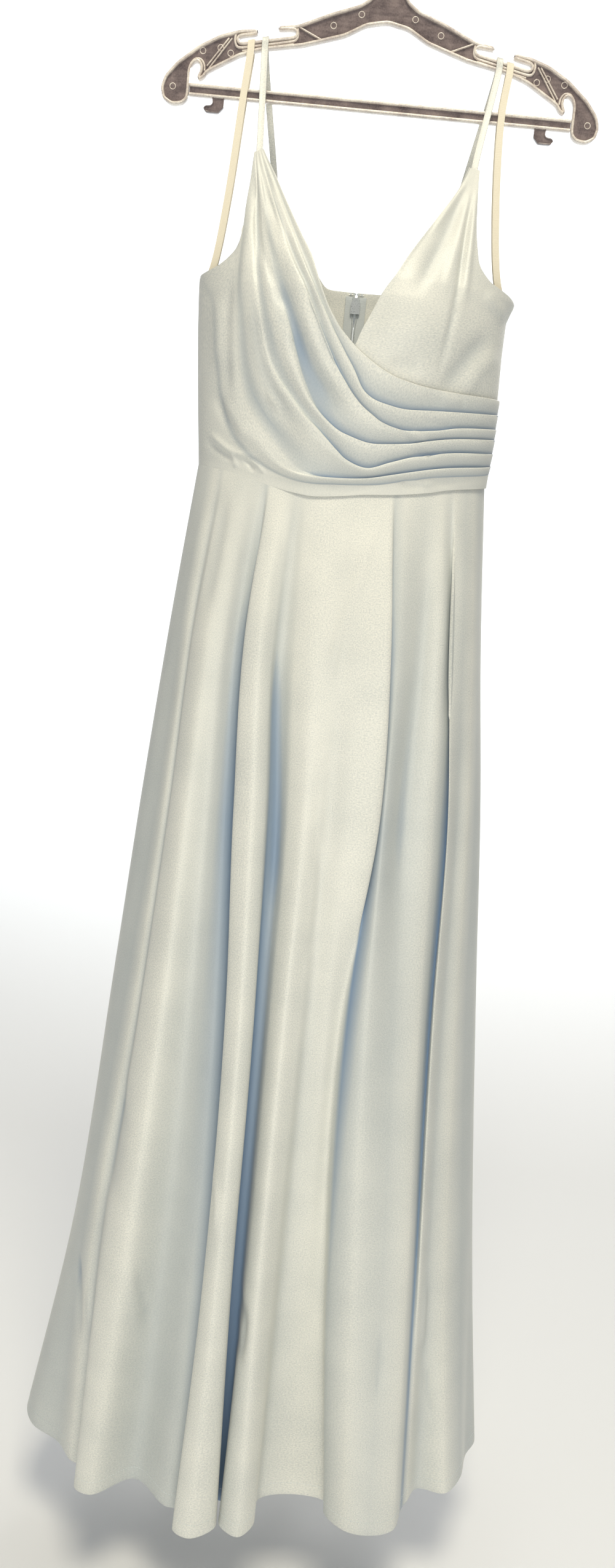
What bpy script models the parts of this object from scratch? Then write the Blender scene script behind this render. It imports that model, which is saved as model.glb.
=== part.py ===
"""Evening dress on a clear plastic hanger: a wrap bodice on thin straps and a floor-length skirt.

The origin is where the hanger's hook hangs, +Z is up and the front of the dress faces -Y.
Every cloth piece is a thin wall built on a surface that is worked out from the tables below.
"""
from collections import namedtuple
from math import asin, cos, pi, radians, sin

import bmesh
import bpy
import numpy as np
from mathutils import Vector

# Driving sizes. Tables are in centimetres, everything else is in metres.
CM = 0.01
SKIRT_WALL = 0.0012
BODICE_WALL = 0.0015
STRAP_WALL = 0.0015
LOOP_WALL = 0.0010
SEAM_HALF = 0.025
HEM_Z = -166.0
SEAT_GAP = 0.0003

# The body of the bodice: side seams' places and the depths of its half-ellipses at each height.
CENTRE_X = -0.5
BodyRow = namedtuple("BodyRow", "z left right front back")
BODY = [
    BodyRow(-56.8, -14.9, 14.3, 7.4, 7.2),
    BodyRow(-54.5, -15.0, 14.45, 7.6, 7.2),
    BodyRow(-50.0, -15.4, 14.7, 8.4, 7.2),
    BodyRow(-45.0, -15.8, 14.75, 9.2, 7.3),
    BodyRow(-41.0, -16.1, 14.65, 9.6, 7.5),
    BodyRow(-38.0, -16.25, 14.7, 9.5, 7.6),
    BodyRow(-36.3, -16.3, 15.3, 9.2, 7.6),
    BodyRow(-33.0, -16.1, 15.3, 8.2, 7.4),
    BodyRow(-29.0, -15.8, 15.2, 6.4, 6.8),
    BodyRow(-24.0, -15.4, 15.0, 4.4, 5.4),
]
# Lengths round the body are read as on a cylinder of this radius; SIDE stands for a side seam.
UNROLL = 15.0
SIDE = 99.0

# Fullness of the two cups over the body: centre, spread and depth.
Cup = namedtuple("Cup", "x z wide tall depth")
CUPS = [
    Cup(-8.0, -40.5, 5.0, 5.0, 0.9),
    Cup(7.6, -40.0, 4.6, 4.8, 0.9),
    Cup(-0.2, -38.0, 2.6, 6.0, -0.7),
]

# The armhole of the wrapped front, from the strap down to the underarm.
LEFT_ARMHOLE = [(-11.6, -25.1), (-11.7, -27.6), (-11.8, -29.9), (-11.8, -32.5), (-12.3, -34.3),
                (-13.4, -35.5), (-14.3, -36.0), (-15.3, -36.3), (-SIDE, -36.5)]

# Rows of the wrapped front, top edge first. Each runs from the left strap, armhole or side seam
# across to the right side seam. step is the height of the pleat's fold over the row above it.
WrapRow = namedtuple("WrapRow", "name step points")
WRAP_ROWS = [
    WrapRow("neckline", 0.22, [(-10.7, -24.8), (-9.3, -27.3), (-7.7, -30.3), (-6.1, -33.2), (-5.0, -35.1),
                               (-4.0, -37.6), (-3.0, -39.7), (-2.0, -41.1), (-1.0, -42.1), (0.6, -43.4),
                               (3.0, -44.8), (5.0, -45.4), (8.1, -45.8), (SIDE, -45.5)]),
    WrapRow("pleat_1", 0.26, [(-10.9, -24.9), (-9.5, -27.8), (-7.7, -31.6), (-6.2, -34.7), (-4.8, -37.4),
                              (-3.7, -39.4), (-2.5, -41.4), (-1.0, -43.6), (0.0, -45.0), (1.0, -46.6),
                              (2.0, -47.3), (3.5, -47.7), (5.0, -47.9), (8.1, -47.7), (SIDE, -46.8)]),
    WrapRow("pleat_2", 0.36, [(-11.1, -24.95), (-9.9, -28.4), (-8.3, -32.4), (-6.8, -35.6), (-5.2, -38.3),
                              (-4.0, -40.6), (-3.0, -42.5), (-2.0, -44.2), (-1.0, -45.7), (0.0, -47.0),
                              (1.0, -48.0), (2.0, -48.7), (3.0, -49.3), (5.1, -49.8), (8.1, -49.5),
                              (10.3, -49.0), (SIDE, -48.2)]),
    WrapRow("pleat_3", 0.30, [(-11.35, -25.0), (-10.4, -29.5), (-9.7, -33.6), (-8.8, -37.3), (-7.6, -39.9),
                              (-6.6, -42.0), (-5.8, -44.0), (-5.0, -46.0), (-4.0, -47.7), (-3.0, -48.8),
                              (-2.0, -49.7), (-1.0, -50.4), (0.0, -50.8), (2.0, -51.3), (4.0, -51.2),
                              (6.1, -50.9), (8.2, -50.4), (10.3, -50.0), (SIDE, -49.2)]),
    WrapRow("pleat_4", 0.40, [(-11.6, -25.1), (-11.0, -28.7), (-10.9, -32.2), (-10.5, -35.8), (-9.8, -40.0),
                              (-9.2, -42.8), (-8.6, -44.6), (-7.6, -46.2), (-6.0, -47.8), (-4.0, -49.6),
                              (-3.0, -50.4), (-2.0, -51.3), (-1.0, -52.2), (0.0, -53.0), (2.0, -53.6),
                              (4.1, -52.9), (6.1, -52.2), (8.2, -51.7), (10.3, -51.3), (SIDE, -50.6)]),
    WrapRow("pleat_5", 0.34, [(-11.8, -32.5), (-12.1, -35.6), (-12.0, -39.6), (-11.6, -43.6), (-11.1, -47.2),
                              (-10.2, -49.8), (-9.2, -51.0), (-8.1, -52.2), (-7.1, -53.2), (-6.1, -54.0),
                              (-5.1, -54.5), (-4.0, -54.8), (0.0, -54.8), (2.0, -54.6), (4.1, -54.1),
                              (6.1, -53.6), (8.2, -53.1), (10.3, -52.7), (SIDE, -51.8)]),
    WrapRow("underarm", 0.0, [(-SIDE, -36.5), (-14.6, -39.5), (-13.9, -44.0), (-13.2, -48.0), (-12.0, -51.2),
                              (-10.2, -53.2), (-8.2, -54.4), (-6.1, -55.2), (-4.0, -55.6), (0.0, -55.5),
                              (3.0, -55.2), (8.2, -54.0), (SIDE, -52.6)]),
    WrapRow("side", 0.0, [(-SIDE, -46.0), (-14.7, -48.0), (-13.8, -51.0), (-12.2, -53.0), (-10.2, -54.3),
                          (-8.2, -55.1), (-4.0, -56.1), (0.0, -56.0), (3.0, -55.7), (8.2, -54.7),
                          (SIDE, -53.3)]),
    WrapRow("waist", 0.0, [(-SIDE, -54.4), (-14.2, -54.6), (-10.3, -55.3), (-8.2, -55.9), (-6.1, -56.4),
                           (-4.1, -56.7), (-3.0, -56.8), (0.0, -56.5), (2.0, -56.2), (5.1, -55.9),
                           (8.2, -55.4), (10.3, -54.9), (12.6, -54.5), (SIDE, -54.0)]),
]
# The wrap stands over the body by its lift, reached over a run that starts left of the centre.
WRAP_LIFT = 0.24
LIFT_START = -7.0
LIFT_RUN = 4.0
# Folds reach their full height at this share of the row, rising by this power.
FOLD_FULL_AT = 0.35
FOLD_RISE = 0.8
WRAP_COLUMNS = 26
# A column of points this close to a seam, as a share of the panel, keeps its edge square.
SEAM_EDGE = 0.008
# Where rows are set between each pair of rows above, and which of those gaps start on the armhole.
WRAP_BAND_STEPS = [(0.0, 0.5, 0.93), (0.06, 0.35, 0.65, 0.94), (0.06, 0.35, 0.65, 0.94),
                   (0.05, 0.35, 0.65, 0.95), (0.05, 0.3, 0.55, 0.78, 0.95), (0.06, 0.28, 0.47, 0.64, 0.82),
                   (0.0, 0.5), (0.0, 1.0)]
# Along the armhole, where each of those bands starts and ends, and how fast its pull dies away.
ARMHOLE_BANDS = {4: (0.0, 0.38), 5: (0.38, 1.0)}
ARMHOLE_PULL = 12
# Towards the side seam the pleats are pressed flatter, from this share of the row on.
PRESS_FROM = 0.86
PRESSED = 0.45

# The under front: its neckline edge with the end hidden under the wrap, and its armhole.
UNDER_NECK = [(9.1, -24.8), (8.3, -26.8), (6.1, -30.6), (4.0, -34.1), (3.0, -36.0), (2.0, -37.6),
              (1.0, -39.8), (0.3, -41.3), (-0.2, -42.7), (-0.8, -44.0), (-1.2, -45.2)]
UNDER_ARMHOLE = [(10.1, -24.9), (10.1, -26.6), (10.2, -30.0), (10.5, -32.2), (10.9, -33.9), (12.0, -35.1),
                 (12.9, -35.5), (14.3, -35.9), (SIDE, -36.4)]
UNDER_SEAM_END_Z = -47.4
# Its rows run from a share of the neckline's length to a share of the armhole's, and then of the seam's.
UNDER_ROWS = [(0.0, 0.0, 0), (0.06, 0.06, 0), (0.15, 0.15, 0), (0.26, 0.25, 0), (0.37, 0.34, 0),
              (0.49, 0.43, 0), (0.58, 0.52, 0), (0.65, 0.61, 0), (0.71, 0.74, 0), (0.77, 1.0, 0),
              (0.83, 1.0, 0.2), (0.89, 1.0, 0.45), (0.95, 1.0, 0.72), (1.0, 1.0, 1.0)]
UNDER_ACROSS = (0, 0.1, 0.2, 0.3, 0.41, 0.52, 0.62, 0.72, 0.8, 0.86, 0.93, 1 - SEAM_EDGE, 1.0)
# Gathers that fan out of the strap point: place and width across the panel, and height.
Gather = namedtuple("Gather", "place wide height")
UNDER_FOLDS = [Gather(0.30, 0.06, 0.16), Gather(0.52, 0.06, 0.20), Gather(0.72, 0.05, 0.22)]

# Top edge of each back panel: distance from the centre back, and height.
BACK_TOP = [(0.0, -34.9), (1.5, -34.9), (3.2, -34.75), (4.2, -33.7), (5.6, -32.0), (7.2, -30.1), (8.5, -28.9),
            (9.5, -29.0), (10.2, -30.2), (11.1, -32.2), (12.3, -34.3), (13.6, -35.6), (14.6, -36.1),
            (SIDE, -36.4)]
BACK_ROWS = (0.0, 0.04, 0.09, 0.16, 0.25, 0.36, 0.48, 0.6, 0.73, 0.86, 1.0)
BACK_SIDE_STEPS = (0.35, 0.7, 0.94)
BACK_WAIST_Z = -54.6
# The opening at the centre back, above the closed zip.
SPLIT_HALF = 0.22
SPLIT_START_Z = -36.6
SPLIT_END_Z = -38.5

# Skirt levels and the fold lines that run down it. Each fold line has its place along the waist
# and then its x and y at each level below.
SKIRT_LEVELS = (-70.0, -88.0, -108.0, -140.0, HEM_Z)
Fold = namedtuple("Fold", "name waist hip thigh knee calf hem")
FRONT_FOLDS = [
    Fold("left side seam", -SIDE, (-16.7, 0.5), (-18.3, 0.8), (-20.0, 1.0), (-22.9, 1.0), (-27.2, 0.8)),
    Fold("left side crest", -14.6, (-16.2, -2.4), (-17.9, -2.8), (-19.5, -3.0), (-22.3, -3.0), (-25.8, -2.9)),
    Fold("left side line", -13.7, (-15.0, -4.3), (-16.1, -5.2), (-17.8, -5.8), (-20.8, -6.0), (-22.2, -5.4)),
    Fold("left front edge", -12.8, (-14.2, -5.4), (-15.2, -6.4), (-16.6, -7.4), (-19.6, -7.9), (-20.3, -8.0)),
    Fold("left tuck", -12.2, (-13.7, -5.7), (-14.6, -6.6), (-15.9, -7.8), (-18.5, -8.7), (-18.7, -9.0)),
    Fold("wide fold edge", -11.8, (-13.4, -6.6), (-14.4, -7.9), (-15.6, -9.4), (-17.8, -11.4), (-19.0, -12.0)),
    Fold("wide fold crest", -10.6, (-12.0, -8.1), (-12.8, -9.6), (-13.4, -11.4), (-15.2, -13.0), (-17.0, -12.9)),
    Fold("wide fold hollow", -9.2, (-10.3, -8.3), (-10.5, -9.3), (-10.6, -10.4), (-11.4, -10.6), (-12.6, -9.9)),
    Fold("wide fold end", -8.1, (-9.1, -8.8), (-8.8, -9.9), (-8.0, -11.4), (-8.0, -12.5), (-8.8, -13.4)),
    Fold("left pleat tuck", -7.5, (-7.8, -8.3), (-7.4, -9.4), (-6.4, -10.8), (-6.4, -12.6), (-6.9, -13.9)),
    Fold("left pleat edge", -7.1, (-8.2, -9.5), (-7.8, -10.9), (-6.8, -12.5), (-6.6, -14.8), (-7.5, -16.6)),
    Fold("left pleat crest", -5.9, (-6.6, -10.3), (-5.9, -12.0), (-5.2, -13.8), (-5.2, -16.2), (-5.6, -17.6)),
    Fold("left pleat fall", -5.0, (-5.4, -9.7), (-4.6, -11.3), (-3.9, -12.8), (-3.6, -15.0), (-2.9, -15.6)),
    Fold("deep valley left", -4.5, (-4.9, -9.2), (-4.2, -10.1), (-3.9, -10.9), (-3.8, -11.8), (-3.8, -12.0)),
    Fold("deep valley right", -4.0, (-4.2, -9.1), (-3.3, -9.9), (-2.9, -10.7), (-2.7, -11.8), (-2.3, -12.2)),
    Fold("centre fold edge", -3.4, (-3.2, -9.7), (-2.3, -10.9), (-2.2, -12.2), (-2.1, -14.6), (-2.6, -15.3)),
    Fold("centre fold crest", -2.0, (-1.6, -10.2), (-0.8, -11.7), (-0.8, -13.4), (-0.8, -15.8), (-0.5, -16.8)),
    Fold("centre fold fall", 0.0, (0.3, -10.3), (0.7, -11.5), (0.8, -12.5), (0.7, -14.2), (1.1, -15.0)),
    Fold("panel start", 1.2, (1.4, -10.3), (1.7, -11.3), (1.7, -11.7), (1.7, -11.8), (1.5, -11.2)),
    Fold("panel middle", 3.2, (3.4, -10.4), (3.8, -11.6), (3.6, -11.8), (4.2, -11.3), (5.0, -10.0)),
    Fold("panel edge", 4.8, (6.1, -10.4), (6.8, -11.3), (5.0, -11.4), (6.2, -11.3), (8.9, -10.6)),
    Fold("right pleat edge", 5.2, (5.9, -9.5), (6.4, -10.2), (5.7, -12.1), (6.7, -13.0), (8.8, -12.3)),
    Fold("right pleat crest", 6.2, (7.0, -8.7), (7.0, -10.4), (7.5, -12.9), (9.2, -14.4), (11.0, -14.5)),
    Fold("right hollow", 8.2, (9.0, -8.1), (9.2, -9.4), (10.3, -11.6), (12.4, -13.7), (13.6, -14.9)),
    Fold("right crest", 9.8, (11.2, -8.0), (12.2, -9.1), (13.0, -10.7), (15.0, -12.7), (16.4, -13.8)),
    Fold("right tuck", 10.7, (12.4, -6.7), (13.9, -7.4), (14.4, -8.7), (16.1, -10.2), (17.5, -10.6)),
    Fold("right edge", 11.2, (12.1, -7.6), (13.9, -8.4), (14.6, -9.7), (16.5, -10.4), (18.2, -9.4)),
    Fold("right line", 12.3, (13.5, -6.4), (15.0, -6.5), (15.8, -7.7), (17.6, -8.6), (19.5, -7.3)),
    Fold("right side crest", 13.1, (14.6, -5.1), (16.2, -5.6), (17.3, -6.6), (19.6, -7.4), (22.6, -7.7)),
    Fold("right side line", 13.8, (15.4, -3.2), (17.2, -3.6), (18.6, -4.2), (21.8, -4.6), (24.7, -5.0)),
    Fold("right side fall", 14.3, (15.9, -1.2), (18.0, -1.5), (19.8, -1.8), (23.0, -1.8), (25.7, -1.3)),
    Fold("right side seam", SIDE, (16.1, 0.8), (18.2, 1.0), (20.2, 1.2), (23.7, 1.4), (27.2, 1.8)),
]
# The back falls in flutes: each line's place across the back, as a share of its half width at
# the waist and at the hem, and how far it stands out of the mean back depth at the hem.
Flute = namedtuple("Flute", "waist hem out")
BACK_FLUTES = [
    Flute(0.965, 0.93, 2.2), Flute(0.90, 0.85, -1.4), Flute(0.80, 0.74, 2.6), Flute(0.71, 0.65, 0.4),
    Flute(0.63, 0.58, -2.6), Flute(0.53, 0.48, -0.4), Flute(0.44, 0.39, 2.8), Flute(0.36, 0.31, 1.4),
    Flute(0.27, 0.245, -2.2), Flute(0.16, 0.15, 0.4), Flute(0.0, 0.0, 2.4), Flute(-0.15, -0.14, 0.8),
    Flute(-0.24, -0.235, -2.4), Flute(-0.33, -0.31, 1.6), Flute(-0.41, -0.40, 3.0), Flute(-0.50, -0.48, 0.4),
    Flute(-0.59, -0.57, -2.8), Flute(-0.68, -0.65, -0.2), Flute(-0.77, -0.73, 2.6), Flute(-0.87, -0.83, -1.2),
    Flute(-0.955, -0.92, 2.0),
]
CENTRE_BACK = 10
BACK_DEPTH = (8.8, 10.2, 11.6, 13.2, 14.6)
BACK_SWING = (0.24, 0.45, 0.62, 0.85, 1.0)
BACK_ROUNDNESS = 2.4
SKIRT_SEAM_EDGE = 0.07
SKIRT_ROWS = (0.0, 0.035, 0.08, 0.13, 0.19, 0.26, 0.33, 0.41, 0.49, 0.57, 0.65, 0.73, 0.81, 0.88, 0.945, 1.0)

# The hanger, front view of its right half; the left half mirrors it.
ARM_OUTLINE = [(0.0, -8.7), (1.5, -8.7), (1.8, -9.6), (2.8, -10.3), (5.6, -11.3), (8.6, -12.6), (10.4, -12.85),
               (10.5, -13.2), (8.95, -13.05), (8.7, -13.3), (8.85, -13.6), (13.9, -14.6), (14.25, -14.4),
               (14.1, -14.1), (12.4, -13.75), (12.4, -13.3), (14.1, -13.5), (16.0, -14.1), (18.0, -15.2),
               (20.0, -16.8), (21.1, -18.1), (21.45, -19.2), (21.2, -20.2), (20.3, -20.7), (19.3, -20.55),
               (18.8, -20.1), (18.7, -19.6), (18.7, -17.4), (18.45, -16.8), (18.1, -16.6), (17.75, -16.85),
               (17.7, -17.4), (18.0, -18.0), (17.8, -18.3), (17.3, -18.0), (17.0, -17.5), (14.0, -15.8),
               (12.0, -15.1), (8.0, -14.4), (4.0, -13.2), (2.0, -12.1), (0.0, -11.7)]
ARM_POCKETS = [
    [(2.7, -10.8), (5.5, -11.75), (8.3, -13.0), (8.35, -14.0), (4.2, -12.8), (2.5, -11.9)],
    [(15.0, -14.15), (16.0, -14.6), (17.8, -15.6), (19.6, -17.1), (20.7, -18.4), (20.95, -19.2), (20.6, -20.0),
     (20.1, -20.2), (19.6, -20.1), (19.2, -19.5), (19.2, -17.2), (18.7, -16.4), (18.0, -16.1), (17.2, -16.6),
     (15.0, -15.75), (14.75, -15.0)],
]
ARM_DEPTH = 0.009
WEB_DEPTH = 0.003
WEB_GROW = 1.06
BAR_HALF = 18.66
BAR_TOP, BAR_BOTTOM = -18.6, -19.7
BAR_DEPTH = 0.007
BAR_TAB_START = 15.2
BAR_TAB = [(15.2, -20.5), (15.7, -21.05), (16.9, -21.05), (17.2, -20.7), (17.0, -20.45), (16.5, -20.4),
           (16.3, -20.2), (16.4, BAR_BOTTOM)]
HOOK_WIRE = 0.003
HOOK_RADIUS = 0.022
HOOK_TURNS = range(-40, 201, 15)
# The hook's stem as x and height over the top of the arms.
HOOK_STEM = [(0.0, 0.0), (0.0, 0.014), (0.004, 0.022), (0.013, 0.030)]

# Straps and hanging loops over the slots of the hanger. Each runs over its slot's sloping floor.
SLOT_FLOOR = [(8.85, -13.6), (13.9, -14.6)]
STRAP_WIDE = 0.0065
LOOP_WIDE = 0.0068
# Straps end this far above the panel's edge and this far inside its face.
STRAP_SEAT = 0.05
STRAP_INSET = -0.05
RIBBON_STEP = 2.5
# A ribbon's path over a slot: how far its middle stands off the arm, and heights over the floor.
RIBBON_OFF = [(0.07, -0.9), (0.06, -0.45), (0.05, 0.0)]
RIBBON_OVER = 0.07
SLOT_BEND = 0.7
SLOT_TILT_NEAR = 1.2
LOOP_SPREAD = (0.52, 0.4, 0.25, 0.15)
Strap = namedtuple("Strap", "side slot_x front_x front_z back_x back_z")
STRAPS = [Strap("left", -11.6, -11.15, -24.95, -9.5, -28.95), Strap("right", 11.1, 9.6, -24.85, 8.5, -28.95)]
Loop = namedtuple("Loop", "side slot_x points")
LOOPS = [Loop("left", -12.95, [(-13.3, -19.1), (-14.1, -28.7), (-14.9, -34.7), (-15.6, -37.2)]),
         Loop("right", 12.15, [(11.85, -19.1), (12.5, -28.7), (13.4, -34.3), (14.45, -36.9)])]

# The concealed zip: tapes inside the centre back, slider near the top, pull tab outside.
ZIP_TOP_Z = -35.35
ZIP_END_Z = -75.0
TAPE_WIDE = 1.1
TAPE_WALL = 0.0010
TAPE_DEPTH = 0.20
TAPE_ROWS_ABOVE, TAPE_ROWS_BELOW = 9, 10
TAPE_SPREAD = 1.3
SLIDER_HALF = 0.48
SLIDER_TOP_Z = -35.45
SLIDER_SHOULDER_Z = -36.0
SLIDER_BOTTOM_Z = -37.1
SLIDER_DEEP = 0.22
CROWN_Z = -36.0
CROWN_TALL = 0.9
CROWN_DEEP = 0.10
CHEEK_INNER, CHEEK_OUTER = 0.12, 0.20
CHEEK_HALF = 0.14
NECK_HALF_WIDE, NECK_HALF_TALL = 0.10, 0.15
HOUSE_TOP = 0.35
CLEAR = 0.04
SINK = 0.03
PIN_OUT = 0.40
PIN_RADIUS = 0.06
EYE_HOLE = 0.10
EYE_RADIUS = 0.21
EYE_HALF = 0.08
EYE_SIDES = 16
PULL_OUTLINE = [(0.08, -0.15), (0.10, -0.6), (0.22, -1.1), (0.28, -1.8), (0.25, -2.15), (0.12, -2.32)]
PULL_DEEP = 0.11
FASTENER_Z = -35.1
FASTENER_DEPTH = 0.27
FASTENER_WIRE = 0.0004
# The wire's path, from the panel to the closed end and back: distance from the centre, and height.
FASTENER_PATH = [(0.8, 0.11), (0.15, 0.09), (0.05, 0.0), (0.15, -0.09), (0.8, -0.11)]


def clear_scene():
    """Remove whatever the file holds, so that the dress stands alone."""
    for obj in list(bpy.data.objects):
        bpy.data.objects.remove(obj, do_unlink=True)


def new_collection(name):
    """Make a collection in the scene."""
    made = bpy.data.collections.new(name)
    bpy.context.scene.collection.children.link(made)
    return made


def new_material(name, colour, roughness, metallic=0.0, transmission=0.0):
    """A Principled material in a piece's own colour."""
    made = bpy.data.materials.new(name)
    made.use_nodes = True
    shader = made.node_tree.nodes["Principled BSDF"]
    shader.inputs["Base Color"].default_value = (*colour, 1.0)
    shader.inputs["Roughness"].default_value = roughness
    shader.inputs["Metallic"].default_value = metallic
    shader.inputs["Transmission Weight"].default_value = transmission
    return made


def hermite(knots, points, at):
    """Smooth curve through the points, read at the given places along the knots."""
    spans = np.diff(knots)[:, None]
    chords = np.diff(points, axis=0) / spans
    inner = (chords[:-1] * spans[1:] + chords[1:] * spans[:-1]) / (spans[:-1] + spans[1:])
    slopes = np.vstack([chords[:1], inner, chords[-1:]])
    k = np.clip(np.searchsorted(knots, at, side="right") - 1, 0, len(knots) - 2)
    span = (knots[k + 1] - knots[k])[:, None]
    t = (at - knots[k])[:, None] / span
    return ((2 * t**3 - 3 * t**2 + 1) * points[k] + (t**3 - 2 * t**2 + t) * span * slopes[k]
            + (3 * t**2 - 2 * t**3) * points[k + 1] + (t**3 - t**2) * span * slopes[k + 1])


def curve_through(points, shares):
    """Points at the given shares of the length of a smooth curve through the control points."""
    points = np.asarray(points, float)
    lengths = np.linalg.norm(np.diff(points, axis=0), axis=1)
    knots = np.concatenate([[0.0], np.cumsum(np.sqrt(lengths))])
    marks = np.concatenate([[0.0], np.cumsum(lengths)])
    return hermite(knots, points, np.interp(np.asarray(shares) * marks[-1], marks, knots))


def body_sizes(z):
    """Left and right half widths and front and back depths of the body at a height."""
    rows = np.array(sorted(BODY))
    left, right, front, back = (np.interp(z, rows[:, 0], rows[:, i]) for i in (1, 2, 3, 4))
    return CENTRE_X - left, right - CENTRE_X, front, back


def body_point(angle, z):
    """A point of the body: angle 0 is the centre front, a quarter turn the right side seam."""
    left, right, front, back = body_sizes(z)
    x = CENTRE_X + np.where(np.sin(angle) > 0, right, left) * np.sin(angle)
    facing = np.cos(angle)
    fullness = sum(cup.depth * np.exp(-((x - cup.x) / cup.wide) ** 2 - ((z - cup.z) / cup.tall) ** 2)
                   for cup in CUPS)
    front = front + fullness * np.clip(facing * 2, 0, 1)
    y = -np.where(facing > 0, front, back) * facing
    return np.stack([x, y, z + 0.0 * x], axis=-1)


def raised(angle, z, height):
    """A point of the body moved outwards by a height in centimetres."""
    along = body_point(angle + 0.01, z) - body_point(angle - 0.01, z)
    up = body_point(angle, z + 0.2) - body_point(angle, z - 0.2)
    outward = np.cross(along, up)
    outward /= np.linalg.norm(outward, axis=-1, keepdims=True)
    return body_point(angle, z) + outward * np.asarray(height)[..., None]


def body_angle(x, z):
    """The angle of a front-view place on the front of the body."""
    left, right, _, _ = body_sizes(z)
    across = (x - CENTRE_X) / (right if x > CENTRE_X else left)
    return asin(max(-1.0, min(1.0, across)))


def unrolled(points):
    """Front-view points as lengths round the body from the centre front, and their heights."""
    return np.array([(UNROLL * body_angle(x, z), z) for x, z in points])


def link(obj, collection, material):
    """Put an object in its collection and give it its material."""
    collection.objects.link(obj)
    obj.data.materials.append(material)
    return obj


def grid_mesh(name, grid):
    """An open sheet through a grid of points in centimetres, facing out where columns run on."""
    rows, columns = grid.shape[:2]
    made = bmesh.new()
    verts = [made.verts.new(point) for point in grid.reshape(-1, 3) * CM]
    for r in range(rows - 1):
        for c in range(columns - 1):
            a = r * columns + c
            made.faces.new((verts[a], verts[a + columns], verts[a + columns + 1], verts[a + 1]))
    mesh = bpy.data.meshes.new(name)
    made.to_mesh(mesh)
    made.free()
    mesh.shade_smooth()
    return mesh


def add_wall(name, grid, wall, collection, material, offset=-1.0):
    """A cloth piece: a sheet with its wall on the inner side."""
    obj = link(bpy.data.objects.new(name, grid_mesh(name, np.asarray(grid))), collection, material)
    solid = obj.modifiers.new("wall", "SOLIDIFY")
    solid.thickness = wall
    solid.offset = offset
    return obj


def pull_in(grid, columns=(0, -1), rows=()):
    """Draw the sheet's seam edges in by half a seam's gap."""
    inner = {0: 1, -1: -2}
    for c in columns:
        step = grid[:, inner[c]] - grid[:, c]
        grid[:, c] += step / np.linalg.norm(step, axis=1, keepdims=True) * SEAM_HALF
    for r in rows:
        grid[r, :, 2] += SEAM_HALF if r == -1 else -SEAM_HALF
    return grid


def fold_strength(shares):
    """Pleat folds are sharp over most of their run and flatten towards the strap."""
    return np.clip(shares / FOLD_FULL_AT, 0.0, 1.0) ** FOLD_RISE


def wrap_lift(along):
    """How far the wrap stands over the body: clear of the under front where it covers it."""
    t = np.clip((along - LIFT_START) / LIFT_RUN, 0.0, 1.0)
    return WRAP_LIFT * t * t * (3 - 2 * t)


def wrap_grid():
    """The wrapped front, its rows following the folds, each fold raised over the row above."""
    shares = np.linspace(0.0, 1.0, WRAP_COLUMNS)
    shares = np.sort(np.concatenate([shares, [SEAM_EDGE, 1 - SEAM_EDGE]]))
    rows = [curve_through(unrolled(row.points), shares) for row in WRAP_ROWS]
    armhole = unrolled(LEFT_ARMHOLE)
    press = 1 - (1 - PRESSED) * np.clip((shares - PRESS_FROM) / (1 - PRESS_FROM), 0, 1)
    grid = []
    for k, steps in enumerate(WRAP_BAND_STEPS):
        for t in steps:
            line = (1 - t) * rows[k] + t * rows[k + 1]
            if k in ARMHOLE_BANDS:
                start, end = ARMHOLE_BANDS[k]
                edge = curve_through(armhole, [start + (end - start) * t])[0]
                line = line + (1 - shares[:, None]) ** ARMHOLE_PULL * (edge - line[0])
            height = WRAP_ROWS[k].step * (1 - t) * fold_strength(shares) * press + wrap_lift(line[:, 0])
            grid.append(raised(line[:, 0] / UNROLL, line[:, 1], height))
    return pull_in(np.array(grid), rows=(-1,))


def under_grid():
    """The under front, from its strap down to the edge that the wrap hides."""
    across = np.array(UNDER_ACROSS)
    necks = curve_through(unrolled(UNDER_NECK), [row[0] for row in UNDER_ROWS])
    arms = curve_through(unrolled(UNDER_ARMHOLE), [row[1] for row in UNDER_ROWS])
    seam_drop = np.array([row[2] for row in UNDER_ROWS])
    arms[:, 1] += seam_drop * (UNDER_SEAM_END_Z - UNDER_ARMHOLE[-1][1])
    ridges = sum(fold.height * np.exp(-((across - fold.place) / fold.wide) ** 2) for fold in UNDER_FOLDS)
    grid = []
    for neck, arm, row in zip(necks, arms, UNDER_ROWS):
        line = neck * (1 - across[:, None]) + arm * across[:, None]
        grid.append(raised(line[:, 0] / UNROLL, line[:, 1], ridges * sin(pi * row[1])))
    grid = np.array(grid)
    at_seam = seam_drop > 0
    grid[at_seam] = pull_in(grid[at_seam], columns=(-1,))
    return grid


def back_waist_z(angle):
    """Height of the waist seam at an angle of the back."""
    right, left = WRAP_ROWS[-1].points[-1][1], WRAP_ROWS[-1].points[0][1]
    side = np.where(angle > 0, right, left)
    return side + (BACK_WAIST_Z - side) * np.sin(np.abs(angle) - pi / 2)


def centre_split(z):
    """Half the opening at the centre back: open above the slider, closed below it."""
    share = np.clip((z - SPLIT_END_Z) / (SPLIT_START_Z - SPLIT_END_Z), 0, 1)
    return SEAM_HALF + (SPLIT_HALF - SEAM_HALF) * share


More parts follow.
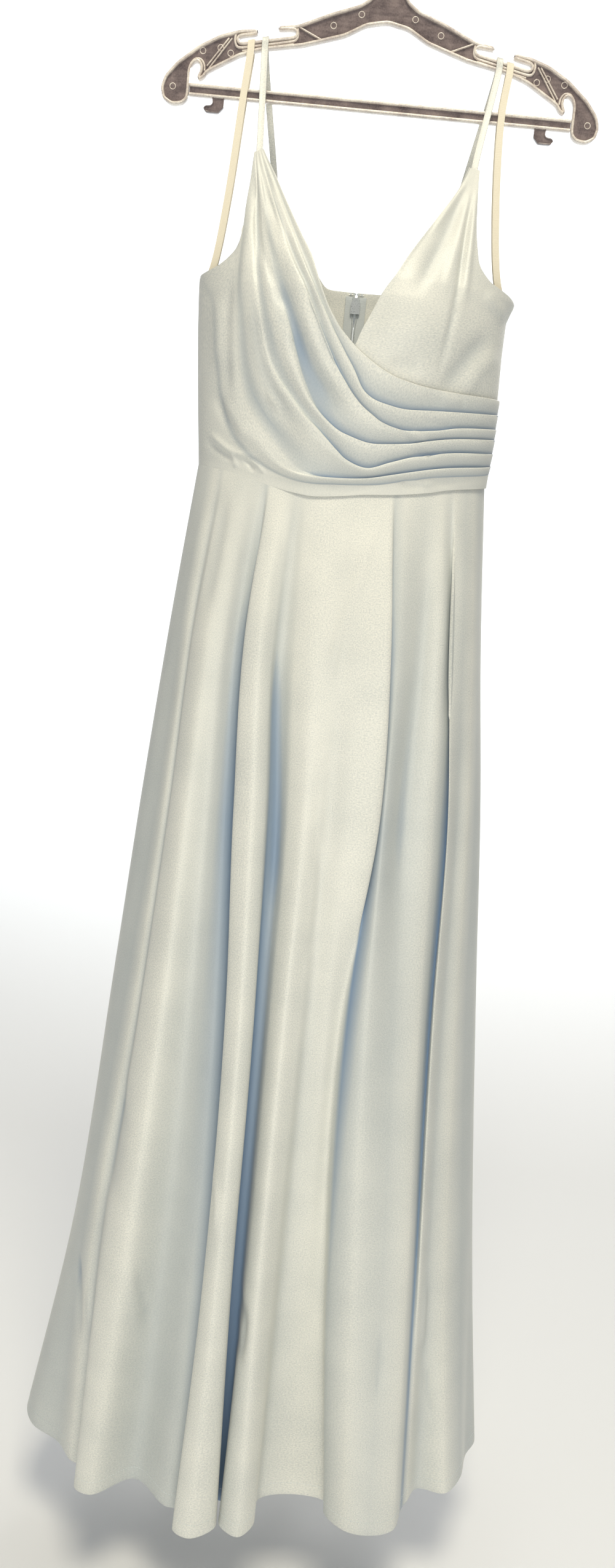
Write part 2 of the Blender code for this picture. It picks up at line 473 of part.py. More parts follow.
def back_grid(hand):
    """One back panel, from the centre back round to its side seam; hand is 1 on the right."""
    angles, tops = [], []
    for across, z in BACK_TOP:
        angles.append(hand * pi - body_angle(CENTRE_X + hand * across, z))
        tops.append(z)
    for ends in (angles, tops):
        ends[-1:-1] = [ends[-2] + (ends[-1] - ends[-2]) * t for t in BACK_SIDE_STEPS]
    angles, tops = np.array(angles), np.array(tops)
    grid = []
    for share in BACK_ROWS:
        z = tops + (back_waist_z(angles) - tops) * share
        row = raised(angles, z, 0.0 * z)
        row[0, 0] = CENTRE_X + hand * centre_split(z[0])
        grid.append(row)
    grid = np.array(grid)
    if hand > 0:
        grid = grid[:, ::-1]
    return pull_in(grid, columns=(0,) if hand > 0 else (-1,), rows=(-1,))


def waist_z(x):
    """Height of the waist seam at a place across the front."""
    line = curve_through(unrolled(WRAP_ROWS[-1].points), np.linspace(0, 1, 80))
    return float(np.interp(UNROLL * body_angle(x, -55.0), line[:, 0], line[:, 1]))


def fold_lines():
    """Every fold line of the skirt, from the left side seam round: waist point, then levels."""
    lines = []
    for fold in FRONT_FOLDS:
        z = waist_z(fold.waist)
        top = body_point(np.array(body_angle(fold.waist, z)), np.array(z))
        lines.append([(*top,)] + [(x, y, level) for (x, y), level in zip(fold[2:], SKIRT_LEVELS)])
    left, right = FRONT_FOLDS[0], FRONT_FOLDS[-1]
    for flute in BACK_FLUTES:
        angle = pi - asin(flute.waist) if flute.waist >= 0 else -pi - asin(flute.waist)
        z = float(back_waist_z(np.array(angle)))
        line = [(*body_point(np.array(angle), np.array(z)),)]
        for k, level in enumerate(SKIRT_LEVELS):
            share = flute.waist + (flute.hem - flute.waist) * BACK_SWING[k]
            end = right if share > 0 else left
            x = CENTRE_X + abs(share) * (end[k + 2][0] - CENTRE_X)
            depth = BACK_DEPTH[k] * (1 - abs(share) ** BACK_ROUNDNESS) ** 0.5
            line.append((x, depth + flute.out * BACK_SWING[k], level))
        lines.append(line)
    return np.array(lines)


def skirt_rows(lines, share):
    """Where the fold lines pass at a share of the drop from waist to hem."""
    rows = []
    for line in lines:
        drop = (line[0, 2] - line[:, 2]) / (line[0, 2] - HEM_Z)
        rows.append(hermite(drop, line, np.array([share]))[0])
    return np.array(rows)


def round_ring(rows, places):
    """Points of the closed smooth ring through the rows, at places counted in rows."""
    wrapped = np.vstack([rows[-2:], rows, rows[:3]])
    gaps = np.linalg.norm(np.diff(wrapped, axis=0), axis=1)
    knots = np.concatenate([[0.0], np.cumsum(np.sqrt(gaps))])
    return hermite(knots, wrapped, np.interp(np.asarray(places) + 2, np.arange(len(wrapped)), knots))


def skirt_grid(lines, first, last, per_row):
    """A skirt panel between two of the fold lines, counted round from the left side seam."""
    places = np.arange((last - first) * per_row + 1) / per_row + first
    places = np.sort(np.concatenate([places, [first + SKIRT_SEAM_EDGE, last - SKIRT_SEAM_EDGE]]))
    grid = [round_ring(skirt_rows(lines, share), places) for share in SKIRT_ROWS]
    return pull_in(np.array(grid), rows=(0,))


def back_y(lines, x, z):
    """Depth of the dress's back surface near the centre back."""
    if z > BACK_WAIST_Z:
        return float(body_point(np.array(pi - body_angle(x, z)), np.array(z))[1])
    share = (BACK_WAIST_Z - z) / (BACK_WAIST_Z - HEM_Z)
    centre = len(FRONT_FOLDS) + CENTRE_BACK
    ring = round_ring(skirt_rows(lines, share), np.linspace(centre - 1, centre + 1, 41))[::-1]
    return float(np.interp(x, ring[:, 0], ring[:, 1]))


def tape_grid(lines, hand):
    """One zip tape, lying inside the back along the centre opening."""
    grid = []
    above = np.linspace(ZIP_TOP_Z, BACK_WAIST_Z + 0.1, TAPE_ROWS_ABOVE)
    below = BACK_WAIST_Z + (ZIP_END_Z - BACK_WAIST_Z) * np.linspace(0, 1, TAPE_ROWS_BELOW) ** TAPE_SPREAD
    for z in np.concatenate([above, below]):
        inner, outer = CENTRE_X + hand * centre_split(z), CENTRE_X + hand * TAPE_WIDE
        row = [(x, back_y(lines, x, z) - TAPE_DEPTH, z) for x in (inner, (inner + outer) / 2, outer)]
        grid.append(row)
    return np.array(grid)[:, ::hand * -1]


def slot_floor(x):
    """Height of the slot's floor in the hanger at a place across."""
    (x0, z0), (x1, z1) = SLOT_FLOOR
    return z0 + (z1 - z0) * (abs(x) - x0) / (x1 - x0)


def over_slot(x, wall):
    """The places by which a ribbon passes over the hanger's slot, from front to back."""
    half = wall / CM / 2
    rim = ARM_DEPTH / CM / 2
    floor = slot_floor(x)
    front = [(-rim - half - off, floor + up) for off, up in RIBBON_OFF]
    over = floor + half + RIBBON_OVER
    front += [(-rim - 0.03, over - 0.02), (-rim * SLOT_BEND, over + 0.01), (0.0, over)]
    return [(x, y, z) for y, z in front] + [(x, -y, z) for y, z in front[-2::-1]]


def smooth_path(points, step):
    """A smooth path that keeps its control points and adds more where they are far apart."""
    points = np.asarray(points, float)
    lengths = np.linalg.norm(np.diff(points, axis=0), axis=1)
    knots = np.concatenate([[0.0], np.cumsum(np.sqrt(lengths))])
    at = [np.linspace(a, b, int(length / step) + 2)[:-1] for a, b, length in zip(knots, knots[1:], lengths)]
    return hermite(knots, points, np.concatenate(at + [knots[-1:]]))


def ribbon_grid(points, wide, slot_x):
    """A flat ribbon along a smooth path, tilted with the slot's floor where it crosses it."""
    path = smooth_path(points, RIBBON_STEP)
    count = len(path)
    (x0, z0), (x1, z1) = SLOT_FLOOR
    slope = (z1 - z0) / (x1 - x0) * (1 if slot_x > 0 else -1)
    near = np.exp(-((path[:, 2] - slot_floor(slot_x)) / SLOT_TILT_NEAR) ** 2)
    sideways = np.stack([np.ones(count), np.zeros(count), slope * near], axis=-1)
    sideways /= np.linalg.norm(sideways, axis=1, keepdims=True)
    half = wide / CM / 2
    return np.stack([path - sideways * half, path + sideways * half], axis=1)


def add_strap(strap, collection, material):
    """A shoulder strap from the front panel over the hanger to the back panel."""
    front = raised(np.array(body_angle(strap.front_x, strap.front_z)), np.array(strap.front_z), STRAP_INSET)
    back_angle = pi - body_angle(strap.back_x, strap.back_z)
    back = raised(np.array(back_angle), np.array(strap.back_z), STRAP_INSET)
    start = tuple(front + (0, 0, STRAP_SEAT))
    end = tuple(back + (0, 0, STRAP_SEAT))
    points = [start] + over_slot(strap.slot_x, STRAP_WALL) + [end]
    grid = ribbon_grid(points, STRAP_WIDE, strap.slot_x)
    return add_wall("strap_" + strap.side, grid, STRAP_WALL, collection, material, offset=0.0)


def add_loop(loop, collection, material):
    """A hanging loop of ribbon from the side seam up over the hanger and back."""
    top = over_slot(loop.slot_x, LOOP_WALL)
    near = [(x, -spread, z) for (x, z), spread in zip(loop.points, LOOP_SPREAD)]
    far = [(x, spread, z) for (x, z), spread in zip(loop.points, LOOP_SPREAD)]
    points = near[::-1] + top + far
    grid = ribbon_grid(points, LOOP_WIDE, loop.slot_x)
    return add_wall("loop_" + loop.side, grid, LOOP_WALL, collection, material, offset=0.0)


def outline_curve(name, outlines, depth, centre_y=0.0):
    """A flat plate in the front view, its outlines filled and drawn out to a depth in metres."""
    data = bpy.data.curves.new(name, "CURVE")
    data.dimensions = "2D"
    data.fill_mode = "BOTH"
    data.extrude = depth / 2
    for outline in outlines:
        spline = data.splines.new("POLY")
        spline.points.add(len(outline) - 1)
        spline.use_cyclic_u = True
        for point, (x, z) in zip(spline.points, outline):
            point.co = (x * CM, z * CM, 0.0, 1.0)
    obj = bpy.data.objects.new(name, data)
    obj.rotation_euler = (radians(90), 0, 0)
    obj.location = (0, centre_y, 0)
    return obj


def as_mesh(obj, collection):
    """Make a curve object a closed mesh object in its place."""
    collection.objects.link(obj)
    bpy.context.view_layer.update()
    graph = bpy.context.evaluated_depsgraph_get()
    mesh = bpy.data.meshes.new_from_object(obj.evaluated_get(graph))
    mesh.transform(obj.matrix_world)
    made = bmesh.new()
    made.from_mesh(mesh)
    bmesh.ops.remove_doubles(made, verts=made.verts, dist=1e-6)
    made.to_mesh(mesh)
    made.free()
    name = obj.name
    bpy.data.objects.remove(obj, do_unlink=True)
    solid = bpy.data.objects.new(name, mesh)
    collection.objects.link(solid)
    return solid


def box_mesh(name, low, high, collection):
    """A box between two corners in centimetres, as an object."""
    made = bmesh.new()
    bmesh.ops.create_cube(made, size=1.0)
    low, high = Vector(low) * CM, Vector(high) * CM
    for vert in made.verts:
        vert.co = Vector(a + (b - a) * (c + 0.5) for a, b, c in zip(low, high, vert.co))
    mesh = bpy.data.meshes.new(name)
    made.to_mesh(mesh)
    made.free()
    obj = bpy.data.objects.new(name, mesh)
    collection.objects.link(obj)
    return obj


def join(base, others):
    """Unite helper solids with a base by Boolean, and leave them as hidden helpers."""
    for other in others:
        other.hide_render = True
        other.display_type = "WIRE"
        union = base.modifiers.new("join", "BOOLEAN")
        union.operation = "UNION"
        union.object = other
    return base


def mirrored(outline):
    """A closed outline from its right half, which starts and ends on the middle line."""
    return outline + [(-x, z) for x, z in outline[-2:0:-1]]


def add_hanger(collection, helpers, material):
    """The moulded arms with their thin webs and raised rims, the bar below and the hook."""
    pockets = [pocket for half in ARM_POCKETS for pocket in (half, [(-x, z) for x, z in half])]
    rim = as_mesh(outline_curve("hanger_arms", [mirrored(ARM_OUTLINE)] + pockets, ARM_DEPTH), helpers)
    webs = []
    for k, pocket in enumerate(pockets):
        centre = np.mean(pocket, axis=0)
        grown = [tuple(centre + (np.array(point) - centre) * WEB_GROW) for point in pocket]
        webs.append(as_mesh(outline_curve(f"web_{k}", [grown], WEB_DEPTH), helpers))
    helpers.objects.unlink(rim)
    link(join(rim, webs), collection, material)
    right = [(BAR_HALF, BAR_TOP), (BAR_HALF, BAR_BOTTOM)] + BAR_TAB[::-1] + [(BAR_TAB_START, BAR_BOTTOM)]
    left = [(-x, z) for x, z in right[::-1]]
    link(outline_curve("hanger_bar", [right + left], BAR_DEPTH), collection, material)
    stem = ARM_OUTLINE[0][1] * CM + SEAT_GAP
    centre = HOOK_WIRE - HOOK_RADIUS
    points = [(x, stem + up) for x, up in HOOK_STEM]
    for turn in HOOK_TURNS:
        points.append((HOOK_RADIUS * cos(radians(turn)), centre + HOOK_RADIUS * sin(radians(turn))))
    add_wire("hanger_hook", [(x, 0, z) for x, z in points], HOOK_WIRE, collection, material)


def add_wire(name, points, radius, collection, material, resolution=2):
    """A round wire along points in metres, with filled ends."""
    data = bpy.data.curves.new(name, "CURVE")
    data.dimensions = "3D"
    data.bevel_depth = radius
    data.bevel_resolution = resolution
    data.use_fill_caps = True
    spline = data.splines.new("POLY")
    spline.points.add(len(points) - 1)
    for point, place in zip(spline.points, points):
        point.co = (*place, 1.0)
    return link(bpy.data.objects.new(name, data), collection, material)


def add_zip(lines, collection, helpers, tape_material, metal):
    """Zip tapes, slider with its crown and pin, and the pull tab hanging on the pin."""
    for hand, side in ((-1, "left"), (1, "right")):
        add_wall("zip_tape_" + side, tape_grid(lines, hand), TAPE_WALL, collection, tape_material)
    surface = back_y(lines, CENTRE_X, CROWN_Z)
    plate_outer = surface - TAPE_DEPTH - TAPE_WALL / CM - CLEAR
    house = [(CENTRE_X + x, z) for x, z in (
        (-SLIDER_HALF, SLIDER_BOTTOM_Z), (SLIDER_HALF, SLIDER_BOTTOM_Z), (SLIDER_HALF, SLIDER_SHOULDER_Z),
        (SLIDER_HALF * HOUSE_TOP, SLIDER_TOP_Z), (-SLIDER_HALF * HOUSE_TOP, SLIDER_TOP_Z),
        (-SLIDER_HALF, SLIDER_SHOULDER_Z))]
    plate = outline_curve("zip_slider", [house], SLIDER_DEEP * CM, (plate_outer - SLIDER_DEEP / 2) * CM)
    plate = as_mesh(plate, helpers)
    crown_in = surface + CLEAR
    crown_out = crown_in + CROWN_DEEP
    pin_y = surface + PIN_OUT
    low, high = CROWN_Z - CROWN_TALL / 2, CROWN_Z + CROWN_TALL / 2
    x, z = CENTRE_X, CROWN_Z
    parts = [box_mesh("neck", (x - NECK_HALF_WIDE, plate_outer - SINK, z - NECK_HALF_TALL),
                      (x + NECK_HALF_WIDE, crown_in + SINK, z + NECK_HALF_TALL), helpers),
             box_mesh("crown", (x - CHEEK_OUTER, crown_in, low), (x + CHEEK_OUTER, crown_out, high), helpers)]
    for hand in (-1, 1):
        near, far = sorted((x + hand * CHEEK_INNER, x + hand * CHEEK_OUTER))
        parts.append(box_mesh("cheek", (near, crown_out - SINK, z - CHEEK_HALF),
                              (far, pin_y + CHEEK_OUTER / 2, z + CHEEK_HALF), helpers))
    pin_end = CHEEK_OUTER - SINK
    parts.append(box_mesh("pin", (x - pin_end, pin_y - PIN_RADIUS, z - PIN_RADIUS),
                          (x + pin_end, pin_y + PIN_RADIUS, z + PIN_RADIUS), helpers))
    helpers.objects.unlink(plate)
    link(join(plate, parts), collection, metal)
    add_pull(pin_y, collection, helpers, metal)


def add_pull(pin_y, collection, helpers, metal):
    """The pull tab: an eye round the slider's pin and a drop-shaped tab, its origin on the pin."""
    turns = [radians(360 * k / EYE_SIDES) for k in range(EYE_SIDES)]
    rings = [[(radius * cos(t), radius * sin(t)) for t in turns] for radius in (EYE_RADIUS, EYE_HOLE)]
    eye = outline_curve("zip_eye", rings, 2 * EYE_HALF * CM)
    eye.rotation_euler = (radians(90), 0, radians(90))
    eye = as_mesh(eye, helpers)
    tab = as_mesh(outline_curve("zip_pull", [[*PULL_OUTLINE, *((-x, z) for x, z in PULL_OUTLINE[::-1])]],
                                PULL_DEEP * CM), helpers)
    helpers.objects.unlink(tab)
    for piece in (eye, tab):
        piece.location = (CENTRE_X * CM, pin_y * CM, CROWN_Z * CM)
    link(join(tab, [eye]), collection, metal)


def add_fastener(lines, collection, metal):
    """The wire hook and eye that close the top of the back, inside its edge."""
    y = (back_y(lines, CENTRE_X, FASTENER_Z) - FASTENER_DEPTH) * CM
    for name, hand in (("back_hook", -1), ("back_eye", 1)):
        points = [((CENTRE_X + hand * x) * CM, y, (FASTENER_Z + z) * CM) for x, z in FASTENER_PATH]
        add_wire(name, points, FASTENER_WIRE, collection, metal, resolution=1)


def main():
    clear_scene()
    dress = new_collection("evening dress")
    helpers = new_collection("helpers")
    satin = new_material("ice blue satin", (0.78, 0.83, 0.84), 0.38)
    ribbon = new_material("ivory ribbon", (0.86, 0.80, 0.66), 0.5)
    tape = new_material("grey zip tape", (0.62, 0.66, 0.67), 0.8)
    metal = new_material("painted metal", (0.75, 0.77, 0.78), 0.35, 0.3)
    plastic = new_material("clear plastic", (0.75, 0.70, 0.66), 0.1, 0.0, 0.8)
    add_wall("bodice_wrap", wrap_grid(), BODICE_WALL, dress, satin)
    add_wall("bodice_under", under_grid(), BODICE_WALL, dress, satin)
    add_wall("bodice_back_left", back_grid(-1), BODICE_WALL, dress, satin)
    add_wall("bodice_back_right", back_grid(1), BODICE_WALL, dress, satin)
    lines = fold_lines()
    right_seam = len(FRONT_FOLDS) - 1
    centre_back = len(FRONT_FOLDS) + CENTRE_BACK
    add_wall("skirt_front", skirt_grid(lines, 0, right_seam, 2), SKIRT_WALL, dress, satin)
    add_wall("skirt_back_right", skirt_grid(lines, right_seam, centre_back, 2), SKIRT_WALL, dress, satin)
    add_wall("skirt_back_left", skirt_grid(lines, centre_back, len(lines), 2), SKIRT_WALL, dress, satin)
    for strap in STRAPS:
        add_strap(strap, dress, satin)
    for loop in LOOPS:
        add_loop(loop, dress, ribbon)
    add_hanger(dress, helpers, plastic)
    add_zip(lines, dress, helpers, tape, metal)
    add_fastener(lines, dress, metal)


main()
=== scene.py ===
"""Evening dress on a clear plastic hanger: the finished cloth, trims, hanger, light and camera."""
from collections import namedtuple
from math import asin, cos, pi, radians, sin

import bmesh
import bpy
import numpy as np
from mathutils import Matrix, Vector


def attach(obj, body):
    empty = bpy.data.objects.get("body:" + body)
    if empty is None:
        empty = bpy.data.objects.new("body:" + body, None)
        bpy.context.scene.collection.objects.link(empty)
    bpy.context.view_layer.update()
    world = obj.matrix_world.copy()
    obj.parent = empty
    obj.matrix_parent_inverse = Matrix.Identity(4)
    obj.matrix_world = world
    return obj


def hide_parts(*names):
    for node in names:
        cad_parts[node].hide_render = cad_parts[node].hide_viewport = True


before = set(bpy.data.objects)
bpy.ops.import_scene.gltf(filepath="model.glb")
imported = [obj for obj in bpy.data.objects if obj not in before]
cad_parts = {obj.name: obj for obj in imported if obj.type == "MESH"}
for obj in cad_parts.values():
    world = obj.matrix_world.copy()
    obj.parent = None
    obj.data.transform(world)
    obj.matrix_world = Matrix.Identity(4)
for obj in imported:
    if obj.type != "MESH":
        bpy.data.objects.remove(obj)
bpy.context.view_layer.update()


def placed(name, data):
    """A new object that holds the data, linked to the scene."""
    made = bpy.data.objects.new(name, data)
    bpy.context.scene.collection.objects.link(made)
    return made


def dressed(piece, node=None):
    """Let a piece ride on the dress, in the place of a node if one is named."""
    if node:
        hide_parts(node)
    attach(piece, "dress")
    return piece


def table(kind, *rows):
    """Rows of values as a list of named tuples."""
    return [kind(*row) for row in rows]


# Camera. A hand-held phone, 1.3 m in front of the dress and a little above its middle, tilted
# down and rolled slightly, so that the hem looks nearer and the hanger leans.
CAMERA_PLACE = Vector((-0.007, -1.305, -0.614))
CAMERA_PITCH = radians(11.0)
CAMERA_ROLL = radians(5.5)
LENS_MM = 28.22
camera = placed("camera", bpy.data.cameras.new("camera"))
camera.data.lens = LENS_MM
camera.data.clip_start = 0.01
looking = Matrix.Rotation(radians(90.0) - CAMERA_PITCH, 4, "X") @ Matrix.Rotation(CAMERA_ROLL, 4, "Z")
camera.matrix_world = Matrix.Translation(CAMERA_PLACE) @ looking
bpy.context.scene.camera = camera

# Under front. The right-hand cup of the bodice, one panel of satin cut on the straight. It is
# gathered into the right strap, turned in along the neckline and the armhole, and its lower edge
# is caught under the wrap. All lengths in the cloth sections are in centimetres.
CM = 0.01
# The body that the bodice was cut for: places of its side seams, and its depths, at each height.
CENTRE_X = -0.5
BodyRow = namedtuple("BodyRow", "z left right front back")
BODY = table(
    BodyRow,
    (-56.8, -14.9, 14.3, 7.4, 7.2),
    (-54.5, -15.0, 14.45, 7.6, 7.2),
    (-50.0, -15.4, 14.7, 8.4, 7.2),
    (-45.0, -15.8, 14.75, 9.2, 7.3),
    (-41.0, -16.1, 14.65, 9.6, 7.5),
    (-38.0, -16.25, 14.7, 9.5, 7.6),
    (-36.3, -16.3, 15.3, 9.2, 7.6),
    (-33.0, -16.1, 15.3, 8.2, 7.4),
    (-29.0, -15.8, 15.2, 6.4, 6.8),
    (-24.0, -15.4, 15.0, 4.4, 5.4))
Cup = namedtuple("Cup", "x z wide tall depth")
CUPS = table(Cup, (-8.0, -40.5, 5.0, 5.0, 0.9), (7.6, -40.0, 4.6, 4.8, 0.9), (-0.2, -38.0, 2.6, 6.0, -0.7))
# The cups' fullness fades out towards the sides.
CUP_FADE = 2
# Lengths round the body are read as on a cylinder of this radius; SIDE stands for a side seam.
UNROLL = 15.0
SIDE = 99.0
# Steps of angle and height over which the body's slope is read.
TURN_STEP, RISE_STEP = 0.01, 0.2
# Creases: points along each, the share over which its ends fade, where the front gives way to the
# back, and the depth from which a trough gets painted shade.
CREASE_POINTS, CREASE_END = 25, 0.3
FRONT_FADE, TROUGH_SHADE_FROM = 2.0, 0.08


def smooth(place, start=0.0, end=1.0):
    """A soft step, from 0 at the start to 1 at the end."""
    t = np.clip((place - start) / (end - start), 0, 1)
    return t * t * (3 - 2 * t)


def hermite(knots, points, at):
    """Smooth curve through the points, read at the given places along the knots."""
    spans = np.diff(knots)[:, None]
    chords = np.diff(points, axis=0) / spans
    inner = (chords[:-1] * spans[1:] + chords[1:] * spans[:-1]) / (spans[:-1] + spans[1:])
    slopes = np.vstack([chords[:1], inner, chords[-1:]])
    k = np.clip(np.searchsorted(knots, at, side="right") - 1, 0, len(knots) - 2)
    span = (knots[k + 1] - knots[k])[:, None]
    t = (at - knots[k])[:, None] / span
    return ((2 * t**3 - 3 * t**2 + 1) * points[k] + (t**3 - 2 * t**2 + t) * span * slopes[k]
            + (3 * t**2 - 2 * t**3) * points[k + 1] + (t**3 - t**2) * span * slopes[k + 1])


def curve_through(points, shares):
    """Points at the given shares of the length of a smooth curve through the control points."""
    points = np.asarray(points, float)
    lengths = np.linalg.norm(np.diff(points, axis=0), axis=1)
    knots = np.concatenate([[0.0], np.cumsum(np.sqrt(lengths))])
    marks = np.concatenate([[0.0], np.cumsum(lengths)])
    return hermite(knots, points, np.interp(np.asarray(shares) * marks[-1], marks, knots))


def body_sizes(z):
    """Left and right half widths and front and back depths of the body at a height."""
    rows = np.array(sorted(BODY))
    left, right, front, back = (np.interp(z, rows[:, 0], rows[:, i]) for i in (1, 2, 3, 4))
    return CENTRE_X - left, right - CENTRE_X, front, back


def body_point(angle, z):
    """A point of the body: angle 0 is the centre front, a quarter turn the right side seam."""
    left, right, front, back = body_sizes(z)
    x = CENTRE_X + np.where(np.sin(angle) > 0, right, left) * np.sin(angle)
    facing = np.cos(angle)
    fullness = sum(cup.depth * np.exp(-((x - cup.x) / cup.wide) ** 2 - ((z - cup.z) / cup.tall) ** 2)
                   for cup in CUPS)
    front = front + fullness * np.clip(facing * CUP_FADE, 0, 1)
    y = -np.where(facing > 0, front, back) * facing
    return np.stack([x, y, z + 0.0 * x], axis=-1)


def raised(angle, z, height):
    """A point of the body moved outwards by a height in centimetres."""
    along = body_point(angle + TURN_STEP, z) - body_point(angle - TURN_STEP, z)
    up = body_point(angle, z + RISE_STEP) - body_point(angle, z - RISE_STEP)
    outward = np.cross(along, up)
    outward /= np.linalg.norm(outward, axis=-1, keepdims=True)
    return body_point(angle, z) + outward * np.asarray(height)[..., None]


def body_angle(x, z):
    """The angle of a front-view place on the front of the body."""
    left, right, _, _ = body_sizes(z)
    across = (x - CENTRE_X) / (right if x > CENTRE_X else left)
    return asin(np.clip(across, -1.0, 1.0))


def unrolled(points):
    """Front-view points as lengths round the body from the centre front, and their heights."""
    return np.array([(UNROLL * body_angle(x, z), z) for x, z in points])


Crease = namedtuple("Crease", "wide height points")


def crease_table(*rows):
    """Creases from rows of width, height (below 0 for a trough) and the points of the line."""
    return [Crease(wide, height, points) for wide, height, *points in rows]


def sheet_normals(grid):
    """Outward directions of a sheet's points."""
    out = np.cross(np.gradient(grid, axis=0), np.gradient(grid, axis=1))
    return out / np.maximum(np.linalg.norm(out, axis=-1, keepdims=True), 1e-9)


def crease_shape(places, creases):
    """How far soft ridges (above 0) and troughs (below 0) lift each front-view place."""
    lift = np.zeros(places.shape[:-1])
    for crease in creases:
        line = curve_through(crease.points, np.linspace(0, 1, CREASE_POINTS))
        best, share = np.full(lift.shape, np.inf), np.zeros(lift.shape)
        for k, (a, b) in enumerate(zip(line, line[1:])):
            run = b - a
            t = np.clip(((places - a) @ run) / (run @ run), 0, 1)
            distance = np.linalg.norm(places - a - t[..., None] * run, axis=-1)
            nearer = distance < best
            best = np.where(nearer, distance, best)
            share = np.where(nearer, (k + t) / (len(line) - 1), share)
        fade = smooth(np.minimum(share, 1 - share), end=CREASE_END)
        lift += crease.height * np.exp(-(best / crease.wide) ** 2) * fade
    return lift


def creased(grid, creases, front_only=True):
    """The sheet with its creases laid in, and the shade painted on each point deep in a trough, 0 to 1."""
    lift = crease_shape(grid[..., (0, 2)], creases)
    if front_only:
        lift = lift * np.clip(-grid[..., 1] / FRONT_FADE + 0.5, 0, 1)
    return grid + sheet_normals(grid) * lift[..., None], np.clip(-lift - TROUGH_SHADE_FROM, 0, 1)


def cloth(name, grid, wall, finish, hollow=None, edge=0.0004):
    """A cloth piece through a grid of points: its wall inside, its cut edges rounded, and its
    own map in metres, for the weave to follow."""
    rows, columns = grid.shape[:2]
    mesh = bpy.data.meshes.new(name)
    index = np.arange(rows * columns).reshape(rows, columns)
    faces = np.stack([index[:-1, :-1], index[1:, :-1], index[1:, 1:], index[:-1, 1:]], axis=-1)
    mesh.from_pydata((grid.reshape(-1, 3) * CM).tolist(), [], faces.reshape(-1, 4).tolist())
    across = np.linalg.norm(np.diff(grid, axis=1), axis=2).mean(axis=0)
    down = np.linalg.norm(np.diff(grid, axis=0), axis=2).mean(axis=1)
    u = np.concatenate([[0.0], np.cumsum(across)]) * CM
    v = -np.concatenate([[0.0], np.cumsum(down)]) * CM
    flat = np.stack(np.meshgrid(u, v), axis=-1).reshape(-1, 2)
    chart = mesh.uv_layers.new(name="cloth")
    chart.data.foreach_set("uv", flat[faces.reshape(-1)].reshape(-1))
    # The hollow attribute carries painted shade, 0 to 1, for the satin's colour.
    depth = mesh.attributes.new("hollow", "FLOAT", "POINT")
    depth.data.foreach_set("value", np.zeros(rows * columns) if hollow is None else hollow.reshape(-1))
    mesh.shade_smooth()
    mesh.materials.append(finish)
    piece = placed(name, mesh)
    solid = piece.modifiers.new("wall", "SOLIDIFY")
    solid.thickness = wall
    solid.offset = -1.0
    turned = piece.modifiers.new("turned edge", "BEVEL")
    turned.width = edge
    turned.segments = 2
    turned.limit_method = "ANGLE"
    turned.angle_limit = radians(60.0)
    return piece


class Value:
    """A socket of a shader tree; sums, differences and products of Values add their Math nodes."""

    def __init__(self, finish, socket):
        self.finish = finish
        self.socket = socket

    def work(self, operation, first, second):
        return self.finish.node("ShaderNodeMath", {"operation": operation}, {0: first, 1: second})

    def __add__(self, other):
        return self.work("ADD", self, other)

    def __sub__(self, other):
        return self.work("SUBTRACT", self, other)

    def __mul__(self, other):
        return self.work("MULTIPLY", self, other)

    def __radd__(self, other):
        return self.work("ADD", other, self)


def socket_name(word):
    """A keyword as the name of a shader's socket."""
    return "IOR" if word == "ior" else word.replace("_", " ").title()


class Finish:
    """A Principled material being made up, node by node."""

    def __init__(self, name, **constants):
        self.material = bpy.data.materials.new(name)
        self.material.use_nodes = True
        self.tree = self.material.node_tree
        self.shader = self.tree.nodes["Principled BSDF"]
        for socket, value in constants.items():
            self.shader.inputs[socket_name(socket)].default_value = value

    def node(self, kind, settings=None, inputs=None, output=0):
        """Add a node, set its settings, then fill its sockets with values or links."""
        made = self.tree.nodes.new(kind)
        for setting, value in (settings or {}).items():
            setattr(made, setting, value)
        for socket, value in (inputs or {}).items():
            self.feed(made.inputs[socket], value)
        return Value(self, made.outputs[output])

    def feed(self, socket, value):
        """Link a Value to a socket, or set the socket to a number, vector or colour."""
        if isinstance(value, Value):
            self.tree.links.new(value.socket, socket)
        elif isinstance(value, tuple) and socket.type == "RGBA":
            socket.default_value = (*value, 1.0)
        else:
            socket.default_value = value

    def give(self, **sockets):
        """Feed the shader's own sockets."""
        for socket, value in sockets.items():
            self.feed(self.shader.inputs[socket_name(socket)], value)

    def chart(self, scale=(1.0, 1.0, 1.0)):
        """Places on the cloth's own map, stretched by a scale."""
        flat = self.node("ShaderNodeUVMap", {"uv_map": "cloth"})
        return self.node("ShaderNodeMapping", None, {"Vector": flat, "Scale": scale})

    def noise(self, vector, scale, detail=2.0, roughness=0.5):
        """A cloudy texture about a middle of a half."""
        return self.node("ShaderNodeTexNoise", None,
                         {"Vector": vector, "Scale": scale, "Detail": detail, "Roughness": roughness})

    def mix(self, share, first, second):
        """One colour over another by a share."""
        return self.node("ShaderNodeMix", {"data_type": "RGBA"}, {0: share, 6: first, 7: second}, output=2)

    def bump(self, height, distance, strength):
        """Normals raised by a height."""
        return self.node("ShaderNodeBump", None,
                         {"Height": height, "Distance": distance, "Strength": strength})


SATIN_LIGHT = (0.80, 0.795, 0.73)
SATIN_DARK = (0.56, 0.58, 0.555)
# Painted shade: grey-blue, then deep blue, mixed into the colour where the cloth lies deep between folds.
SATIN_PAINTED_SHADE = (0.37, 0.42, 0.45)
SATIN_PAINTED_DEEP_SHADE = (0.17, 0.26, 0.40)
